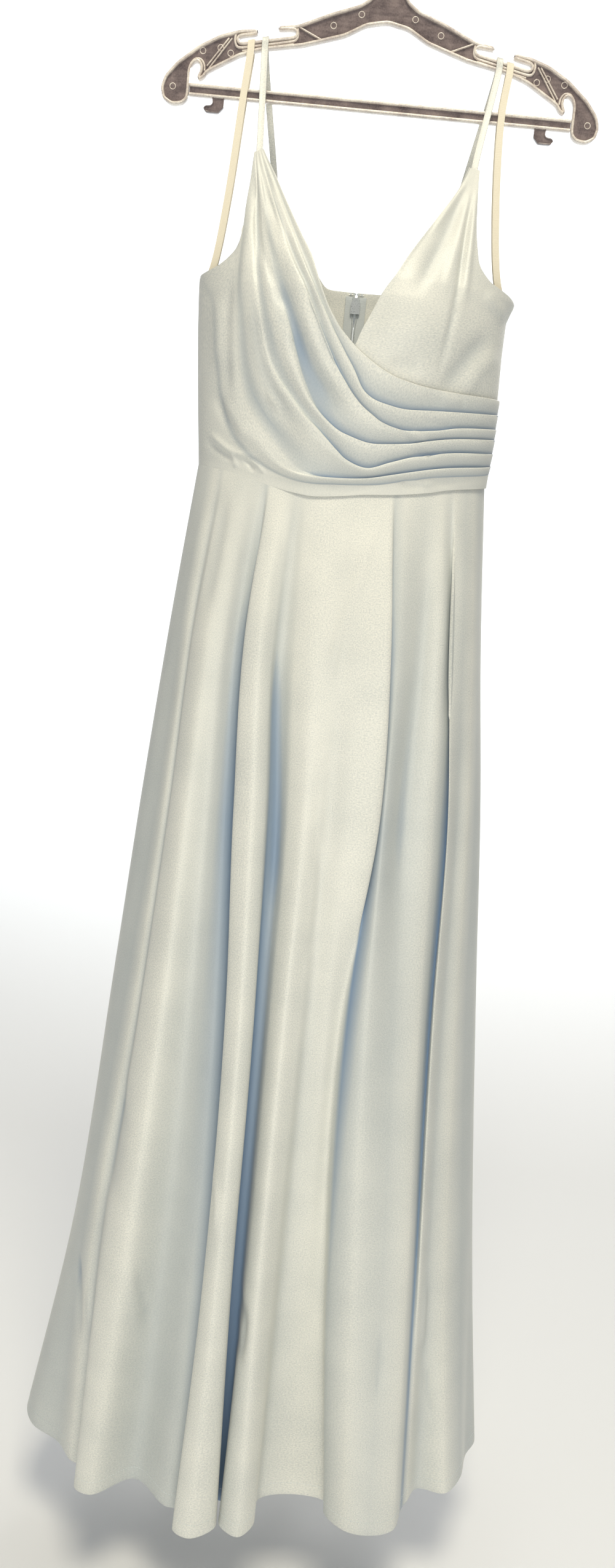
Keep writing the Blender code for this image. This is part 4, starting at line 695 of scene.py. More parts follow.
# Shade painted along some of these lines, from waist to hem: 1 is the full shade, at the bottom of a fold.
FOLD_PAINTED_SHADE = {
    "left side seam": (0.4, 0.5, 0.5, 0.5, 0.5, 0.5), "left side crest": (0.2, 0.35, 0.4, 0.4, 0.4, 0.4),
    "left side line": (0.2, 0.35, 0.45, 0.5, 0.5, 0.45), "left tuck": (0.2, 0.4, 0.5, 0.5, 0.45, 0.4),
    "wide fold hollow": (0.1, 0.15, 0.25, 0.4, 0.5, 0.5),
    "wide fold end": (0.15, 0.55, 0.75, 0.65, 0.5, 0.4),
    "left pleat tuck": (0.4, 0.85, 1.0, 0.9, 0.7, 0.6), "left pleat fall": (0.05, 0.2, 0.25, 0.2, 0.1, 0.1),
    "deep valley left": (0.1, 0.5, 0.8, 0.95, 1.0, 1.0),
    "deep valley right": (0.05, 0.35, 0.6, 0.75, 0.95, 1.0),
    "centre fold edge": (0.0, 0.0, 0.05, 0.1, 0.3, 0.35), "panel start": (0.0, 0.0, 0.05, 0.15, 0.25, 0.25),
    "right pleat edge": (0.3, 0.95, 1.0, 0.9, 0.5, 0.4),
    "right pleat crest": (0.0, 0.35, 0.55, 0.3, 0.1, 0.0),
    "right hollow": (0.1, 0.3, 0.45, 0.45, 0.3, 0.25),
    "right crest": (0.0, 0.1, 0.15, 0.1, 0.0, 0.0), "right tuck": (0.15, 0.7, 1.0, 1.0, 0.9, 0.8),
    "right line": (0.2, 0.3, 0.4, 0.4, 0.4, 0.4), "right side line": (0.3, 0.4, 0.5, 0.5, 0.5, 0.5),
    "right side fall": (0.3, 0.4, 0.5, 0.5, 0.5, 0.5), "right side seam": (0.4, 0.5, 0.5, 0.5, 0.5, 0.5),
}
# The back falls in flutes: each line's place across the back, as a share of its half width at
# the waist and at the hem, and how far it stands out of the mean back depth at the hem.
Flute = namedtuple("Flute", "waist hem out")
BACK_FLUTES = table(
    Flute,
    (0.965, 0.93, 2.2), (0.90, 0.85, -1.4), (0.80, 0.74, 2.6), (0.71, 0.65, 0.4),
    (0.63, 0.58, -2.6), (0.53, 0.48, -0.4), (0.44, 0.39, 2.8), (0.36, 0.31, 1.4),
    (0.27, 0.245, -2.2), (0.16, 0.15, 0.4), (0.0, 0.0, 2.4), (-0.15, -0.14, 0.8),
    (-0.24, -0.235, -2.4), (-0.33, -0.31, 1.6), (-0.41, -0.40, 3.0), (-0.50, -0.48, 0.4),
    (-0.59, -0.57, -2.8), (-0.68, -0.65, -0.2), (-0.77, -0.73, 2.6), (-0.87, -0.83, -1.2),
    (-0.955, -0.92, 2.0))
CENTRE_BACK = 10
BACK_DEPTH = (8.8, 10.2, 11.6, 13.2, 14.6)
BACK_SWING = (0.24, 0.45, 0.62, 0.85, 1.0)
BACK_ROUNDNESS = 2.4
SKIRT_FINE_ROWS, SKIRT_ROW_SPREAD = 150, 1.05
SKIRT_PER_FOLD = 7
# The top of the skirt goes up inside the bodice's edge as a seam allowance, drawn in by a share.
ALLOWANCE_UP, ALLOWANCE_IN = 0.35, 0.012
WAIST_POINTS, WAIST_MIDDLE_Z = 80, -55.0
# A fold's depth against the mean of the cloth this many fold lines either side gets painted shade.
PAINTED_SHADE_REACH = 1.4
PAINTED_SHADE_FROM, PAINTED_SHADE_FULL_AT_WAIST, PAINTED_SHADE_FULL_AT_HEM = 0.1, 0.8, 3.4
SKIRT_CREASES = crease_table(
    (0.5, 0.14, (4.5, -56.5), (3.2, -60.5), (2.0, -66.0), (1.0, -70.0), (0.2, -77.0)),
    (0.6, -0.30, (-5.2, -68.0), (-4.4, -78.0), (-3.4, -90.0), (-3.0, -102.0)),
    (0.7, -0.22, (-11.4, -56.6), (-11.8, -62.0), (-12.6, -70.0)),
    (0.7, 0.16, (-13.4, -57.0), (-14.2, -64.0), (-15.2, -74.0)),
    (0.8, -0.24, (9.0, -57.0), (9.2, -68.0), (9.2, -84.0), (9.6, -100.0)),
    (0.6, -0.18, (11.4, -57.0), (12.0, -66.0), (12.6, -80.0)),
    (0.5, -0.12, (0.5, -88.0), (1.5, -96.0), (0.8, -104.0)),
    (0.35, 0.26, (-14.8, -136.8), (-14.0, -141.0), (-13.0, -147.4)),
    (0.30, -0.22, (-14.1, -138.0), (-13.2, -142.0), (-12.2, -147.0)),
    (0.35, 0.22, (-19.2, -143.0), (-19.2, -146.6), (-18.6, -150.4)),
    (0.45, -0.26, (-21.4, -140.0), (-20.6, -146.0), (-20.0, -152.0)),
    (0.30, 0.22, (-6.4, -125.0), (-5.8, -128.4), (-5.9, -132.0)),
    (0.40, -0.26, (-2.4, -138.8), (-1.9, -142.4), (-2.2, -147.0)),
    (0.35, 0.26, (17.2, -138.0), (17.5, -142.6), (17.9, -148.0)),
    (0.30, -0.26, (18.6, -149.0), (19.2, -152.6), (20.0, -157.0)),
    (0.45, -0.22, (12.2, -141.0), (12.9, -146.0), (12.6, -151.0)),
    (0.8, -0.26, (-16.6, -118.0), (-17.0, -126.0), (-17.6, -133.0)),
)


def waist_z(x):
    """Height of the waist seam at a place across the front."""
    line = curve_through(unrolled(WRAP_ROWS[-1].points), np.linspace(0, 1, WAIST_POINTS))
    return float(np.interp(UNROLL * body_angle(x, WAIST_MIDDLE_Z), line[:, 0], line[:, 1]))


def fold_lines():
    """Every fold line of the skirt, from the left side seam round: waist point, then levels."""
    lines = []
    for fold in FRONT_FOLDS:
        z = waist_z(fold.waist)
        top = body_point(np.array(body_angle(fold.waist, z)), np.array(z))
        lines.append([(*top,)] + [(x, y, level) for (x, y), level in zip(fold[2:], SKIRT_LEVELS)])
    left, right = FRONT_FOLDS[0], FRONT_FOLDS[-1]
    for flute in BACK_FLUTES:
        angle = pi - asin(flute.waist) if flute.waist >= 0 else -pi - asin(flute.waist)
        z = float(back_waist_z(np.array(angle)))
        line = [(*body_point(np.array(angle), np.array(z)),)]
        for k, level in enumerate(SKIRT_LEVELS):
            share = flute.waist + (flute.hem - flute.waist) * BACK_SWING[k]
            end = right if share > 0 else left
            x = CENTRE_X + abs(share) * (end[k + 2][0] - CENTRE_X)
            depth = BACK_DEPTH[k] * (1 - abs(share) ** BACK_ROUNDNESS) ** 0.5
            line.append((x, depth + flute.out * BACK_SWING[k], level))
        lines.append(line)
    return np.array(lines)


def skirt_rows(lines, share):
    """Where the fold lines pass at a share of the drop from waist to hem."""
    drops = [(line[0, 2] - line[:, 2]) / (line[0, 2] - HEM_Z) for line in lines]
    return np.array([hermite(drop, line, np.array([share]))[0] for drop, line in zip(drops, lines)])


def round_ring(rows, places):
    """Points of the closed smooth ring through the rows, at places counted in rows."""
    wrapped = np.vstack([rows[-2:], rows, rows[:3]])
    gaps = np.linalg.norm(np.diff(wrapped, axis=0), axis=1)
    knots = np.concatenate([[0.0], np.cumsum(np.sqrt(gaps))])
    return hermite(knots, wrapped, np.interp(np.asarray(places) + 2, np.arange(len(wrapped)), knots))


def whole_skirt(lines):
    """The closed skirt's points, ring by ring, and the shade painted on each where it lies deep between its
    folds.
    """
    count = len(lines)
    places = np.arange(count * SKIRT_PER_FOLD) / SKIRT_PER_FOLD
    shares = np.linspace(0, 1, SKIRT_FINE_ROWS) ** SKIRT_ROW_SPREAD
    grid = np.array([round_ring(skirt_rows(lines, share), places) for share in shares])
    reach = int(PAINTED_SHADE_REACH * SKIRT_PER_FOLD)
    around = sum(np.roll(grid, shift, axis=1) for shift in range(-reach, reach + 1)) / (2 * reach + 1)
    centre = grid.mean(axis=1, keepdims=True)
    out = (grid - centre) / np.linalg.norm(grid - centre, axis=2, keepdims=True)
    depth = ((around - grid) * out).sum(axis=2)
    full = PAINTED_SHADE_FULL_AT_WAIST + (PAINTED_SHADE_FULL_AT_HEM - PAINTED_SHADE_FULL_AT_WAIST) * shares[:, None]
    hollow = np.clip((depth - PAINTED_SHADE_FROM) / full, 0, 1)
    levels = [0.0] + [(BACK_WAIST_Z - level) / (BACK_WAIST_Z - HEM_Z) for level in SKIRT_LEVELS]
    front = len(FRONT_FOLDS)
    none = (0,) * len(levels)
    # On the front the painted shade follows its fold lines instead, from their table.
    given = np.array([np.interp(shares, levels, FOLD_PAINTED_SHADE.get(fold.name, none)) for fold in FRONT_FOLDS])
    ahead = places < front - 1
    hollow[:, ahead] = [np.interp(places[ahead], range(front), depths) for depths in given.T]
    return grid, hollow


def skirt_panel(grid, hollow, first, last):
    """The points of one panel between two fold lines, with its seam allowance at the top."""
    columns = np.arange(first * SKIRT_PER_FOLD, last * SKIRT_PER_FOLD + 1) % grid.shape[1]
    panel = grid[:, columns]
    tucked = panel[:1] - (panel[:1] - panel[:1].mean(axis=1, keepdims=True)) * ALLOWANCE_IN
    tucked = tucked + (0.0, 0.0, ALLOWANCE_UP)
    hollow = hollow[:, columns]
    return np.concatenate([tucked, panel]), np.concatenate([hollow[:1], hollow])


lines = fold_lines()
ring_grid, ring_painted_shade = whole_skirt(lines)
SkirtPanel = namedtuple("SkirtPanel", "name node first last width length area")
RIGHT_SEAM = len(FRONT_FOLDS) - 1
SKIRT_PANELS = [
    SkirtPanel("skirt_front_panel", "skirt_front", 0, RIGHT_SEAM, 0.98, 1.14, 0.80),
    SkirtPanel("skirt_back_panel_right", "skirt_back_right", RIGHT_SEAM, len(FRONT_FOLDS) + CENTRE_BACK,
               0.46, 1.14, 0.36),
    SkirtPanel("skirt_back_panel_left", "skirt_back_left", len(FRONT_FOLDS) + CENTRE_BACK, len(lines),
               0.46, 1.14, 0.36),
]
for cut in SKIRT_PANELS:
    panel_grid, panel_painted_shade = skirt_panel(ring_grid, ring_painted_shade, cut.first, cut.last)
    if cut.node == "skirt_front":
        # The troughs of the front's creases add painted shade.
        panel_grid, trough = creased(panel_grid, SKIRT_CREASES)
        panel_painted_shade = np.clip(panel_painted_shade + trough, 0, 1)
    panel = cloth(cut.name, panel_grid, 0.0009, satin, panel_painted_shade)
    dressed(panel, cut.node)

# Shoulder straps. Narrow straps of the same satin, folded double and turned under the edges. Each
# is stitched inside the front and back bodice and lies in a slot of the hanger's arm.
ARM_DEPTH = 0.9
SLOT_FLOOR = [(8.85, -13.6), (13.9, -14.6)]
RIBBON_OFF = [(0.07, -0.9), (0.06, -0.45), (0.05, 0.0)]
RIBBON_OVER, SLOT_BEND, SLOT_TILT_NEAR = 0.07, 0.7, 1.2
BEND_OUT, BEND_DOWN, BEND_UP = 0.03, 0.02, 0.01
RIBBON_ROWS, RIBBON_COLUMNS = 110, 9
STRAP_WIDE, STRAP_WALL, STRAP_CROWN = 0.65, 0.0013, 0.035
# Each end of a strap goes inside the panel's face, a little over its point and then down behind it.
STRAP_INSIDE, STRAP_OVER, STRAP_TAIL, TAIL_BACK = -0.16, 0.05, 1.2, 0.1
Strap = namedtuple("Strap", "side slot_x front_x front_z back_x back_z")
STRAPS = [Strap("left", -11.6, -11.15, -24.95, -9.5, -28.95), Strap("right", 11.1, 9.6, -24.85, 8.5, -28.95)]


def slot_floor(x):
    """Height of the slot's floor in the hanger at a place across."""
    (x0, z0), (x1, z1) = SLOT_FLOOR
    return z0 + (z1 - z0) * (abs(x) - x0) / (x1 - x0)


def over_slot(x, wall):
    """The places by which a ribbon passes over the hanger's slot, from front to back."""
    half, rim, floor = wall / CM / 2, ARM_DEPTH / 2, slot_floor(x)
    front = [(-rim - half - off, floor + up) for off, up in RIBBON_OFF]
    over = floor + half + RIBBON_OVER
    front += [(-rim - BEND_OUT, over - BEND_DOWN), (-rim * SLOT_BEND, over + BEND_UP), (0.0, over)]
    return [(x, y, z) for y, z in front] + [(x, -y, z) for y, z in front[-2::-1]]


def ribbon_surface(points, wide, slot_x, crown):
    """A narrow ribbon along a smooth path, crowned across and tilted with the slot's floor where it
    crosses it."""
    route = curve_through(points, np.linspace(0, 1, RIBBON_ROWS))
    (x0, z0), (x1, z1) = SLOT_FLOOR
    slope = (z1 - z0) / (x1 - x0) * (1 if slot_x > 0 else -1)
    near = np.exp(-((route[:, 2] - slot_floor(slot_x)) / SLOT_TILT_NEAR) ** 2)
    sideways = np.stack([np.ones(RIBBON_ROWS), np.zeros(RIBBON_ROWS), slope * near], axis=-1)
    along = np.gradient(route, axis=0)
    along /= np.linalg.norm(along, axis=1, keepdims=True)
    sideways -= along * (sideways * along).sum(axis=1, keepdims=True)
    sideways /= np.linalg.norm(sideways, axis=1, keepdims=True)
    out = np.cross(along, sideways)
    across = np.linspace(-1, 1, RIBBON_COLUMNS)
    sheet = route[:, None] + sideways[:, None] * (across * wide / 2)[None, :, None]
    return sheet + out[:, None] * ((1 - across ** 2) * crown)[None, :, None]


for strap in STRAPS:
    route = over_slot(strap.slot_x, STRAP_WALL)
    for hand, angle, z in ((-1, body_angle(strap.front_x, strap.front_z), strap.front_z),
                           (1, pi - body_angle(strap.back_x, strap.back_z), strap.back_z)):
        point = raised(np.array(angle), np.array(z), STRAP_INSIDE)
        end = [tuple(point + (0, 0, STRAP_OVER)), tuple(point + (0, hand * TAIL_BACK, -STRAP_TAIL))]
        route = route + end if hand > 0 else end[::-1] + route
    strap_grid = ribbon_surface(route, STRAP_WIDE, strap.slot_x, STRAP_CROWN)
    piece = cloth("shoulder_strap_" + strap.side, strap_grid, STRAP_WALL, satin, edge=0.0005)
    dressed(piece, "strap_" + strap.side)

# Hanging loops. Plain ivory taffeta ribbon, one at each side seam, sewn inside the bodice. Each
# goes up over the hanger's slot and back down beside itself.
LOOP_WIDE, LOOP_WALL, LOOP_CROWN = 0.68, 0.0008, 0.012
LOOP_SPREAD = (0.52, 0.4, 0.25, 0.15)
Loop = namedtuple("Loop", "side slot_x points")
LOOPS = [Loop("left", -12.95, [(-13.3, -19.1), (-14.1, -28.7), (-14.9, -34.7), (-15.6, -37.2)]),
         Loop("right", 12.15, [(11.85, -19.1), (12.5, -28.7), (13.4, -34.3), (14.45, -36.9)])]


def woven_finish(name, light, dark, rib, roughness):
    """A narrow woven ribbon or tape with fine ribs across it."""
    woven = Finish(name, ior=1.45, sheen_weight=0.15)
    ribs = woven.node("ShaderNodeTexWave", {"bands_direction": "Y"},
                      {"Vector": woven.chart(), "Scale": rib, "Distortion": 1.5, "Detail": 2.0}, output=1)
    mottle = woven.noise(woven.chart((900.0, 900.0, 1.0)), 1.0)
    woven.give(base_color=woven.mix(ribs * 0.5 + (mottle - 0.5) * 0.8 + 0.2, dark, light),
               roughness=roughness + (mottle - 0.5) * 0.2, normal=woven.bump(ribs, 0.0002, 0.4))
    return woven.material


ribbon = woven_finish("ivory ribbon", (0.86, 0.80, 0.66), (0.74, 0.67, 0.52), 420.0, 0.42)
for loop in LOOPS:
    near = [(x, -spread, z) for (x, z), spread in zip(loop.points, LOOP_SPREAD)]
    far = [(x, spread, z) for (x, z), spread in zip(loop.points, LOOP_SPREAD)]
    route = near[::-1] + over_slot(loop.slot_x, LOOP_WALL) + far
    loop_grid = ribbon_surface(route, LOOP_WIDE, loop.slot_x, LOOP_CROWN)
    piece = cloth("hanging_loop_" + loop.side, loop_grid, LOOP_WALL, ribbon, edge=0.0001)
    dressed(piece, "loop_" + loop.side)

# Zip. Pale grey woven tapes are stitched inside both centre back edges; a fine moulded coil is
# sewn along each; the painted slider stands near the top, its crown and pull tab outside.
ZIP_TOP_Z, ZIP_END_Z = -35.35, -75.0
TAPE_WIDE, TAPE_DEPTH, TAPE_WALL = 1.1, 0.20, 0.0008
TAPE_ROWS_ABOVE, TAPE_ROWS_BELOW, TAPE_SPREAD = 40, 60, 1.3
TAPE_EDGE = 0.025
COIL_IN, COIL_BEHIND, COIL_SIZE, COIL_PITCH = 0.12, 0.12, (0.0016, 0.0009, 0.0008), 0.0013


def back_y(x, z):
    """Depth of the dress's back surface near the centre back."""
    if z > BACK_WAIST_Z:
        return float(body_point(np.array(pi - body_angle(x, z)), np.array(z))[1])
    share = (BACK_WAIST_Z - z) / (BACK_WAIST_Z - HEM_Z)
    centre = len(FRONT_FOLDS) + CENTRE_BACK
    ring = round_ring(skirt_rows(lines, share), np.linspace(centre - 1, centre + 1, 41))[::-1]
    return float(np.interp(x, ring[:, 0], ring[:, 1]))


def tape_half(z):
    """Half the gap between the tapes at a height."""
    return float(centre_split(z, TAPE_EDGE))


def tape_line(hand, behind, across=None, from_edge=0.0):
    """A line down one tape, behind its face: at a place across, or from the tape's own edge."""
    return [(x, back_y(x if across else CENTRE_X, z) - TAPE_DEPTH - behind, z) for x, z in (
        (CENTRE_X + hand * (across or tape_half(z) + from_edge), z) for z in tape_levels)]


tape_finish = woven_finish("grey zip tape", (0.66, 0.70, 0.71), (0.52, 0.56, 0.58), 330.0, 0.75)
tape_levels = np.concatenate([np.linspace(ZIP_TOP_Z, BACK_WAIST_Z + 0.1, TAPE_ROWS_ABOVE),
                              BACK_WAIST_Z + (ZIP_END_Z - BACK_WAIST_Z)
                              * np.linspace(0, 1, TAPE_ROWS_BELOW) ** TAPE_SPREAD])
for side, hand in (("left", -1), ("right", 1)):
    tape_grid = np.array([[(x, back_y(x, z) - TAPE_DEPTH, z) for x in
                           np.linspace(CENTRE_X + hand * tape_half(z), CENTRE_X + hand * TAPE_WIDE, 5)]
                          for z in tape_levels])[:, ::hand * -1]
    tape = cloth("woven_tape_" + side, tape_grid, TAPE_WALL, tape_finish, edge=0.0001)
    dressed(tape, "zip_tape_" + side)


def bead_row_tree():
    """Geometry Nodes group: small rounded beads, stitches or teeth, at even steps along edges."""
    tree = bpy.data.node_groups.new("row of beads", "GeometryNodeTree")
    sockets = {"Geometry": "Geometry", "Step": "Float", "Size": "Vector", "Finish": "Material"}
    for name, kind in sockets.items():
        tree.interface.new_socket(name, in_out="INPUT", socket_type="NodeSocket" + kind)
    tree.interface.new_socket("Geometry", in_out="OUTPUT", socket_type="NodeSocketGeometry")
    nodes = {name: tree.nodes.new("GeometryNode" + kind) for name, kind in (
        ("line", "MeshToCurve"), ("steps", "CurveToPoints"), ("bead", "MeshUVSphere"),
        ("place", "InstanceOnPoints"), ("real", "RealizeInstances"), ("smooth", "SetShadeSmooth"),
        ("paint", "SetMaterial"))}
    nodes["in"], nodes["out"] = tree.nodes.new("NodeGroupInput"), tree.nodes.new("NodeGroupOutput")
    nodes["steps"].mode = "LENGTH"
    nodes["bead"].inputs["Segments"].default_value = 6
    nodes["bead"].inputs["Rings"].default_value = 4
    nodes["bead"].inputs["Radius"].default_value = 0.5
    for source, output, target, socket in (
            ("in", "Geometry", "line", "Mesh"), ("line", "Curve", "steps", "Curve"),
            ("in", "Step", "steps", "Length"), ("steps", "Points", "place", "Points"),
            ("steps", "Rotation", "place", "Rotation"), ("bead", "Mesh", "place", "Instance"),
            ("in", "Size", "place", "Scale"), ("place", "Instances", "real", "Geometry"),
            ("real", "Geometry", "smooth", "Geometry"), ("smooth", "Geometry", "paint", "Geometry"),
            ("in", "Finish", "paint", "Material"), ("paint", "Geometry", "out", "Geometry")):
        tree.links.new(nodes[source].outputs[output], nodes[target].inputs[socket])
    return tree


bead_tree = bead_row_tree()


def bead_row(name, runs, step, size, finish):
    """A piece of beads along runs of points in centimetres."""
    mesh = bpy.data.meshes.new(name)
    points, edges = [], []
    for run in runs:
        edges += [(len(points) + k, len(points) + k + 1) for k in range(len(run) - 1)]
        points += [tuple(np.array(point) * CM) for point in run]
    mesh.from_pydata(points, edges, [])
    piece = placed(name, mesh)
    row = piece.modifiers.new("beads", "NODES")
    row.node_group = bead_tree
    values = {"Step": step, "Size": size, "Finish": finish}
    for item in bead_tree.interface.items_tree:
        if item.name in values:
            row[item.identifier] = values[item.name]
    bpy.context.view_layer.update()
    made = bpy.data.meshes.new_from_object(piece.evaluated_get(bpy.context.evaluated_depsgraph_get()))
    piece.modifiers.remove(row)
    piece.data = made
    dressed(piece)


coil = Finish("nylon coil", base_color=(0.72, 0.76, 0.77, 1.0), roughness=0.35).material
coil_runs = [tape_line(hand, COIL_BEHIND, from_edge=COIL_IN) for hand in (-1, 1)]
bead_row("zip_coil", coil_runs, COIL_PITCH, COIL_SIZE, coil)

METAL_WELD, METAL_EDGE = 0.00002, 0.00012
painted = Finish("painted metal", metallic=0.55, roughness=0.32)
flecks = painted.noise(painted.node("ShaderNodeTexCoord", output=3), 900.0, 2.0)
painted.give(base_color=painted.mix(flecks, (0.50, 0.53, 0.55), (0.62, 0.65, 0.66)),
             roughness=0.30 + (flecks - 0.5) * 0.2)
for node in ("zip_slider", "zip_pull"):
    metal_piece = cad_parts[node]
    metal_piece.data.materials.clear()
    metal_piece.data.materials.append(painted.material)
    weld = metal_piece.modifiers.new("weld", "WELD")
    weld.merge_threshold = METAL_WELD
    rounded = metal_piece.modifiers.new("rounded", "BEVEL")
    rounded.width = METAL_EDGE
    rounded.segments = 2
    rounded.limit_method = "ANGLE"

# Hook and eye. Fine steel wire, sewn inside both top corners of the back with buttonhole thread.
wire = Finish("steel wire", base_color=(0.62, 0.64, 0.66, 1.0), metallic=1.0, roughness=0.28).material
for node in ("back_hook", "back_eye"):
    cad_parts[node].data.materials.clear()
    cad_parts[node].data.materials.append(wire)
    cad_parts[node].data.shade_smooth()

# Hanger. Injection-moulded clear plastic: arms with thin webs between raised rims and ribs, slots
# and scroll-shaped notches for straps, a bar below with two tabs, and a round hook. The webs, the
# bar's plate and the tabs are painted dark, painted shade for what is seen through the clear plastic;
# the rims, ribs, marks, bar edges and hook are painted pale, a painted highlight for the light they catch.
ARM_OUTLINE = [(0.0, -8.7), (1.5, -8.7), (1.8, -9.6), (2.8, -10.3), (5.6, -11.3), (8.6, -12.6),
               (10.4, -12.85), (10.5, -13.2), (8.95, -13.05), (8.7, -13.3), (8.85, -13.6), (13.9, -14.6),
               (14.25, -14.4),
               (14.1, -14.1), (12.4, -13.75), (12.4, -13.3), (14.1, -13.5), (16.0, -14.1), (18.0, -15.2),
               (20.0, -16.8), (21.1, -18.1), (21.45, -19.2), (21.2, -20.2), (20.3, -20.7), (19.3, -20.55),
               (18.8, -20.1), (18.7, -19.6), (18.7, -17.4), (18.45, -16.8), (18.1, -16.6), (17.75, -16.85),
               (17.7, -17.4), (18.0, -18.0), (17.8, -18.3), (17.3, -18.0), (17.0, -17.5), (14.0, -15.8),
               (12.0, -15.1), (8.0, -14.4), (4.0, -13.2), (2.0, -12.1), (0.0, -11.7)]
CORNER, CORNER_STEPS = 0.35, 4
RIM_HALF, RIM_INSET, RIB_LOWER = 0.13, 0.13, 0.2
# Ribs of the right arm, as front-view lines with half their width: the mirror makes the left.
Rib = namedtuple("Rib", "half points")
ARM_RIBS = [
    Rib(0.07, [(8.45, -12.75), (7.9, -13.0), (6.1, -13.75)]),
    Rib(0.11, [(8.6, -12.9), (8.5, -13.6), (8.75, -14.0), (13.9, -15.05), (14.4, -15.0), (14.6, -14.4),
               (14.5, -13.8)]),
    Rib(0.06, [(8.9, -14.28), (13.8, -15.32)]),
    Rib(0.06, [(14.85, -14.3), (16.9, -17.15)]),
    Rib(0.06, [(15.15, -14.3), (17.1, -16.95)]),
    Rib(0.09, [(18.7, -16.9), (18.3, -16.35), (17.7, -16.35), (17.35, -16.8), (17.3, -17.4)]),
]
MARKS = [(20.3, -19.0), (15.9, -15.2), (14.9, -15.6), (17.6, -15.6), (5.2, -12.3), (2.6, -11.1)]
MARK_RADIUS, MARK_WIRE, MARK_PROUD = 0.28, 0.04, 0.1
WEB_THICK = 0.30
BAR_HALF, BAR_TOP, BAR_BOTTOM, BAR_DEPTH = 18.66, -18.6, -19.7, 0.7
BAR_RIM, BAR_IN = 0.14, 0.1
TAB_RIM, TAB_DEPTH, TAB_CORNER = 0.06, 0.5, 0.15
BAR_TAB = [(15.2, -19.5), (15.2, -20.5), (15.7, -21.05), (16.9, -21.05), (17.2, -20.7), (17.0, -20.45),
           (16.5, -20.4), (16.3, -20.2), (16.4, -19.5)]
HOOK_WIRE, HOOK_RADIUS, HOOK_TURNS, HOOK_DEPTH = 0.003, 0.022, range(-40, 201, 5), 0.601
HOOK_STEM = [(0.0, -0.002), (0.0, 0.014), (0.001, 0.018), (0.004, 0.022), (0.0085, 0.0255), (0.013, 0.030)]


def plastic_finish(name, pale, dark, speck):
    """Moulded plastic: cloudy depth, flow marks along the arms and a few bright scuffs."""
    plastic = Finish(name, ior=1.49, coat_weight=0.6, coat_roughness=0.05)
    place = plastic.node("ShaderNodeTexCoord", output=3)
    clouds = plastic.noise(place, 70.0, 4.0, 0.6)
    specks = plastic.noise(place, 620.0, 2.0, 0.6)
    along = plastic.node("ShaderNodeMapping", None, {"Vector": place, "Scale": (30.0, 200.0, 260.0)})
    flow = plastic.noise(along, 1.0)
    depth = (clouds - 0.5) * 1.6 + (flow - 0.5) * 0.9 + (specks - 0.5) * speck + 0.5
    plastic.give(base_color=plastic.mix(depth, dark, pale), roughness=0.12 + (specks - 0.4) * 0.35,
                 normal=plastic.bump(clouds + flow * 0.5, 0.0006, 0.35))
    return plastic.material


# Painted shade on the webs and painted highlight on the rims: the plastic itself is clear.
web_painted_shade = plastic_finish("clear web with painted shade", (0.27, 0.215, 0.205), (0.085, 0.065, 0.068), 0.9)
rim_painted_highlight = plastic_finish("clear rim with painted highlight", (0.92, 0.86, 0.76), (0.50, 0.42, 0.38), 1.2)


def rounded_line(points, closed, corner=CORNER):
    """The line with its corners rounded by short curves."""
    points = [np.array(point, float) for point in points]
    made = [] if closed else [points[0]]
    for k in range(0 if closed else 1, len(points) if closed else len(points) - 1):
        before, here, after = points[k - 1], points[k], points[(k + 1) % len(points)]
        reach = [min(corner, 0.45 * np.linalg.norm(other - here)) for other in (before, after)]
        start = here + (before - here) / np.linalg.norm(before - here) * reach[0]
        end = here + (after - here) / np.linalg.norm(after - here) * reach[1]
        for t in np.linspace(0, 1, CORNER_STEPS):
            made.append((1 - t) ** 2 * start + 2 * t * (1 - t) * here + t * t * end)
    return np.array(made if closed else made + [points[-1]])


def inset_line(points, distance):
    """A closed line moved inwards."""
    before, after = np.roll(points, 1, axis=0), np.roll(points, -1, axis=0)
    along = (after - before) / np.linalg.norm(after - before, axis=1, keepdims=True)
    area = (points[:, 0] * after[:, 1] - after[:, 0] * points[:, 1]).sum()
    inward = np.stack([-along[:, 1], along[:, 0]], axis=1) * (1 if area > 0 else -1)
    return points + inward * distance


def moulded(name, strips, material, flat=(), node=None):
    """A moulded piece: raised strips (points, closed, half width, depth), and flat filled plates
    (points, depth), all in centimetres in the front view."""
    mesh = bmesh.new()
    jobs = [(points, closed, half, depth, False) for points, closed, half, depth in strips]
    jobs += [(points, True, 0.0, depth, True) for points, depth in flat]
    for points, closed, half, depth, filled in jobs:
        data = bpy.data.curves.new("strip", "CURVE")
        data.dimensions = "2D" if filled else "3D"
        data.fill_mode = "BOTH" if filled else "FULL"
        data.twist_mode = "Z_UP"
        data.use_fill_caps = not filled
        data.bevel_depth = half * CM
        data.bevel_resolution = 2
        data.extrude = (depth / 2 - half) * CM
        spline = data.splines.new("POLY")
        spline.points.add(len(points) - 1)
        spline.use_cyclic_u = closed
        for point, (x, z) in zip(spline.points, points):
            point.co = (x * CM, z * CM, 0.0, 1.0)
        helper = placed("strip", data)
        bpy.context.view_layer.update()
        part = bpy.data.meshes.new_from_object(helper.evaluated_get(bpy.context.evaluated_depsgraph_get()))
        part.transform(Matrix.Rotation(radians(90), 4, "X"))
        mesh.from_mesh(part)
        bpy.data.objects.remove(helper, do_unlink=True)
        bpy.data.meshes.remove(part)
    bmesh.ops.remove_doubles(mesh, verts=mesh.verts, dist=1e-6)
    made = bpy.data.meshes.new(name)
    mesh.to_mesh(made)
    mesh.free()
    made.materials.append(material)
    made.shade_smooth()
    piece = placed(name, made)
    piece.modifiers.new("edges", "EDGE_SPLIT").split_angle = radians(40)
    dressed(piece, node)


def both_hands(items):
    """Front-view lines and their mirror images."""
    return [item for points in items for item in (points, [(-x, z) for x, z in points])]


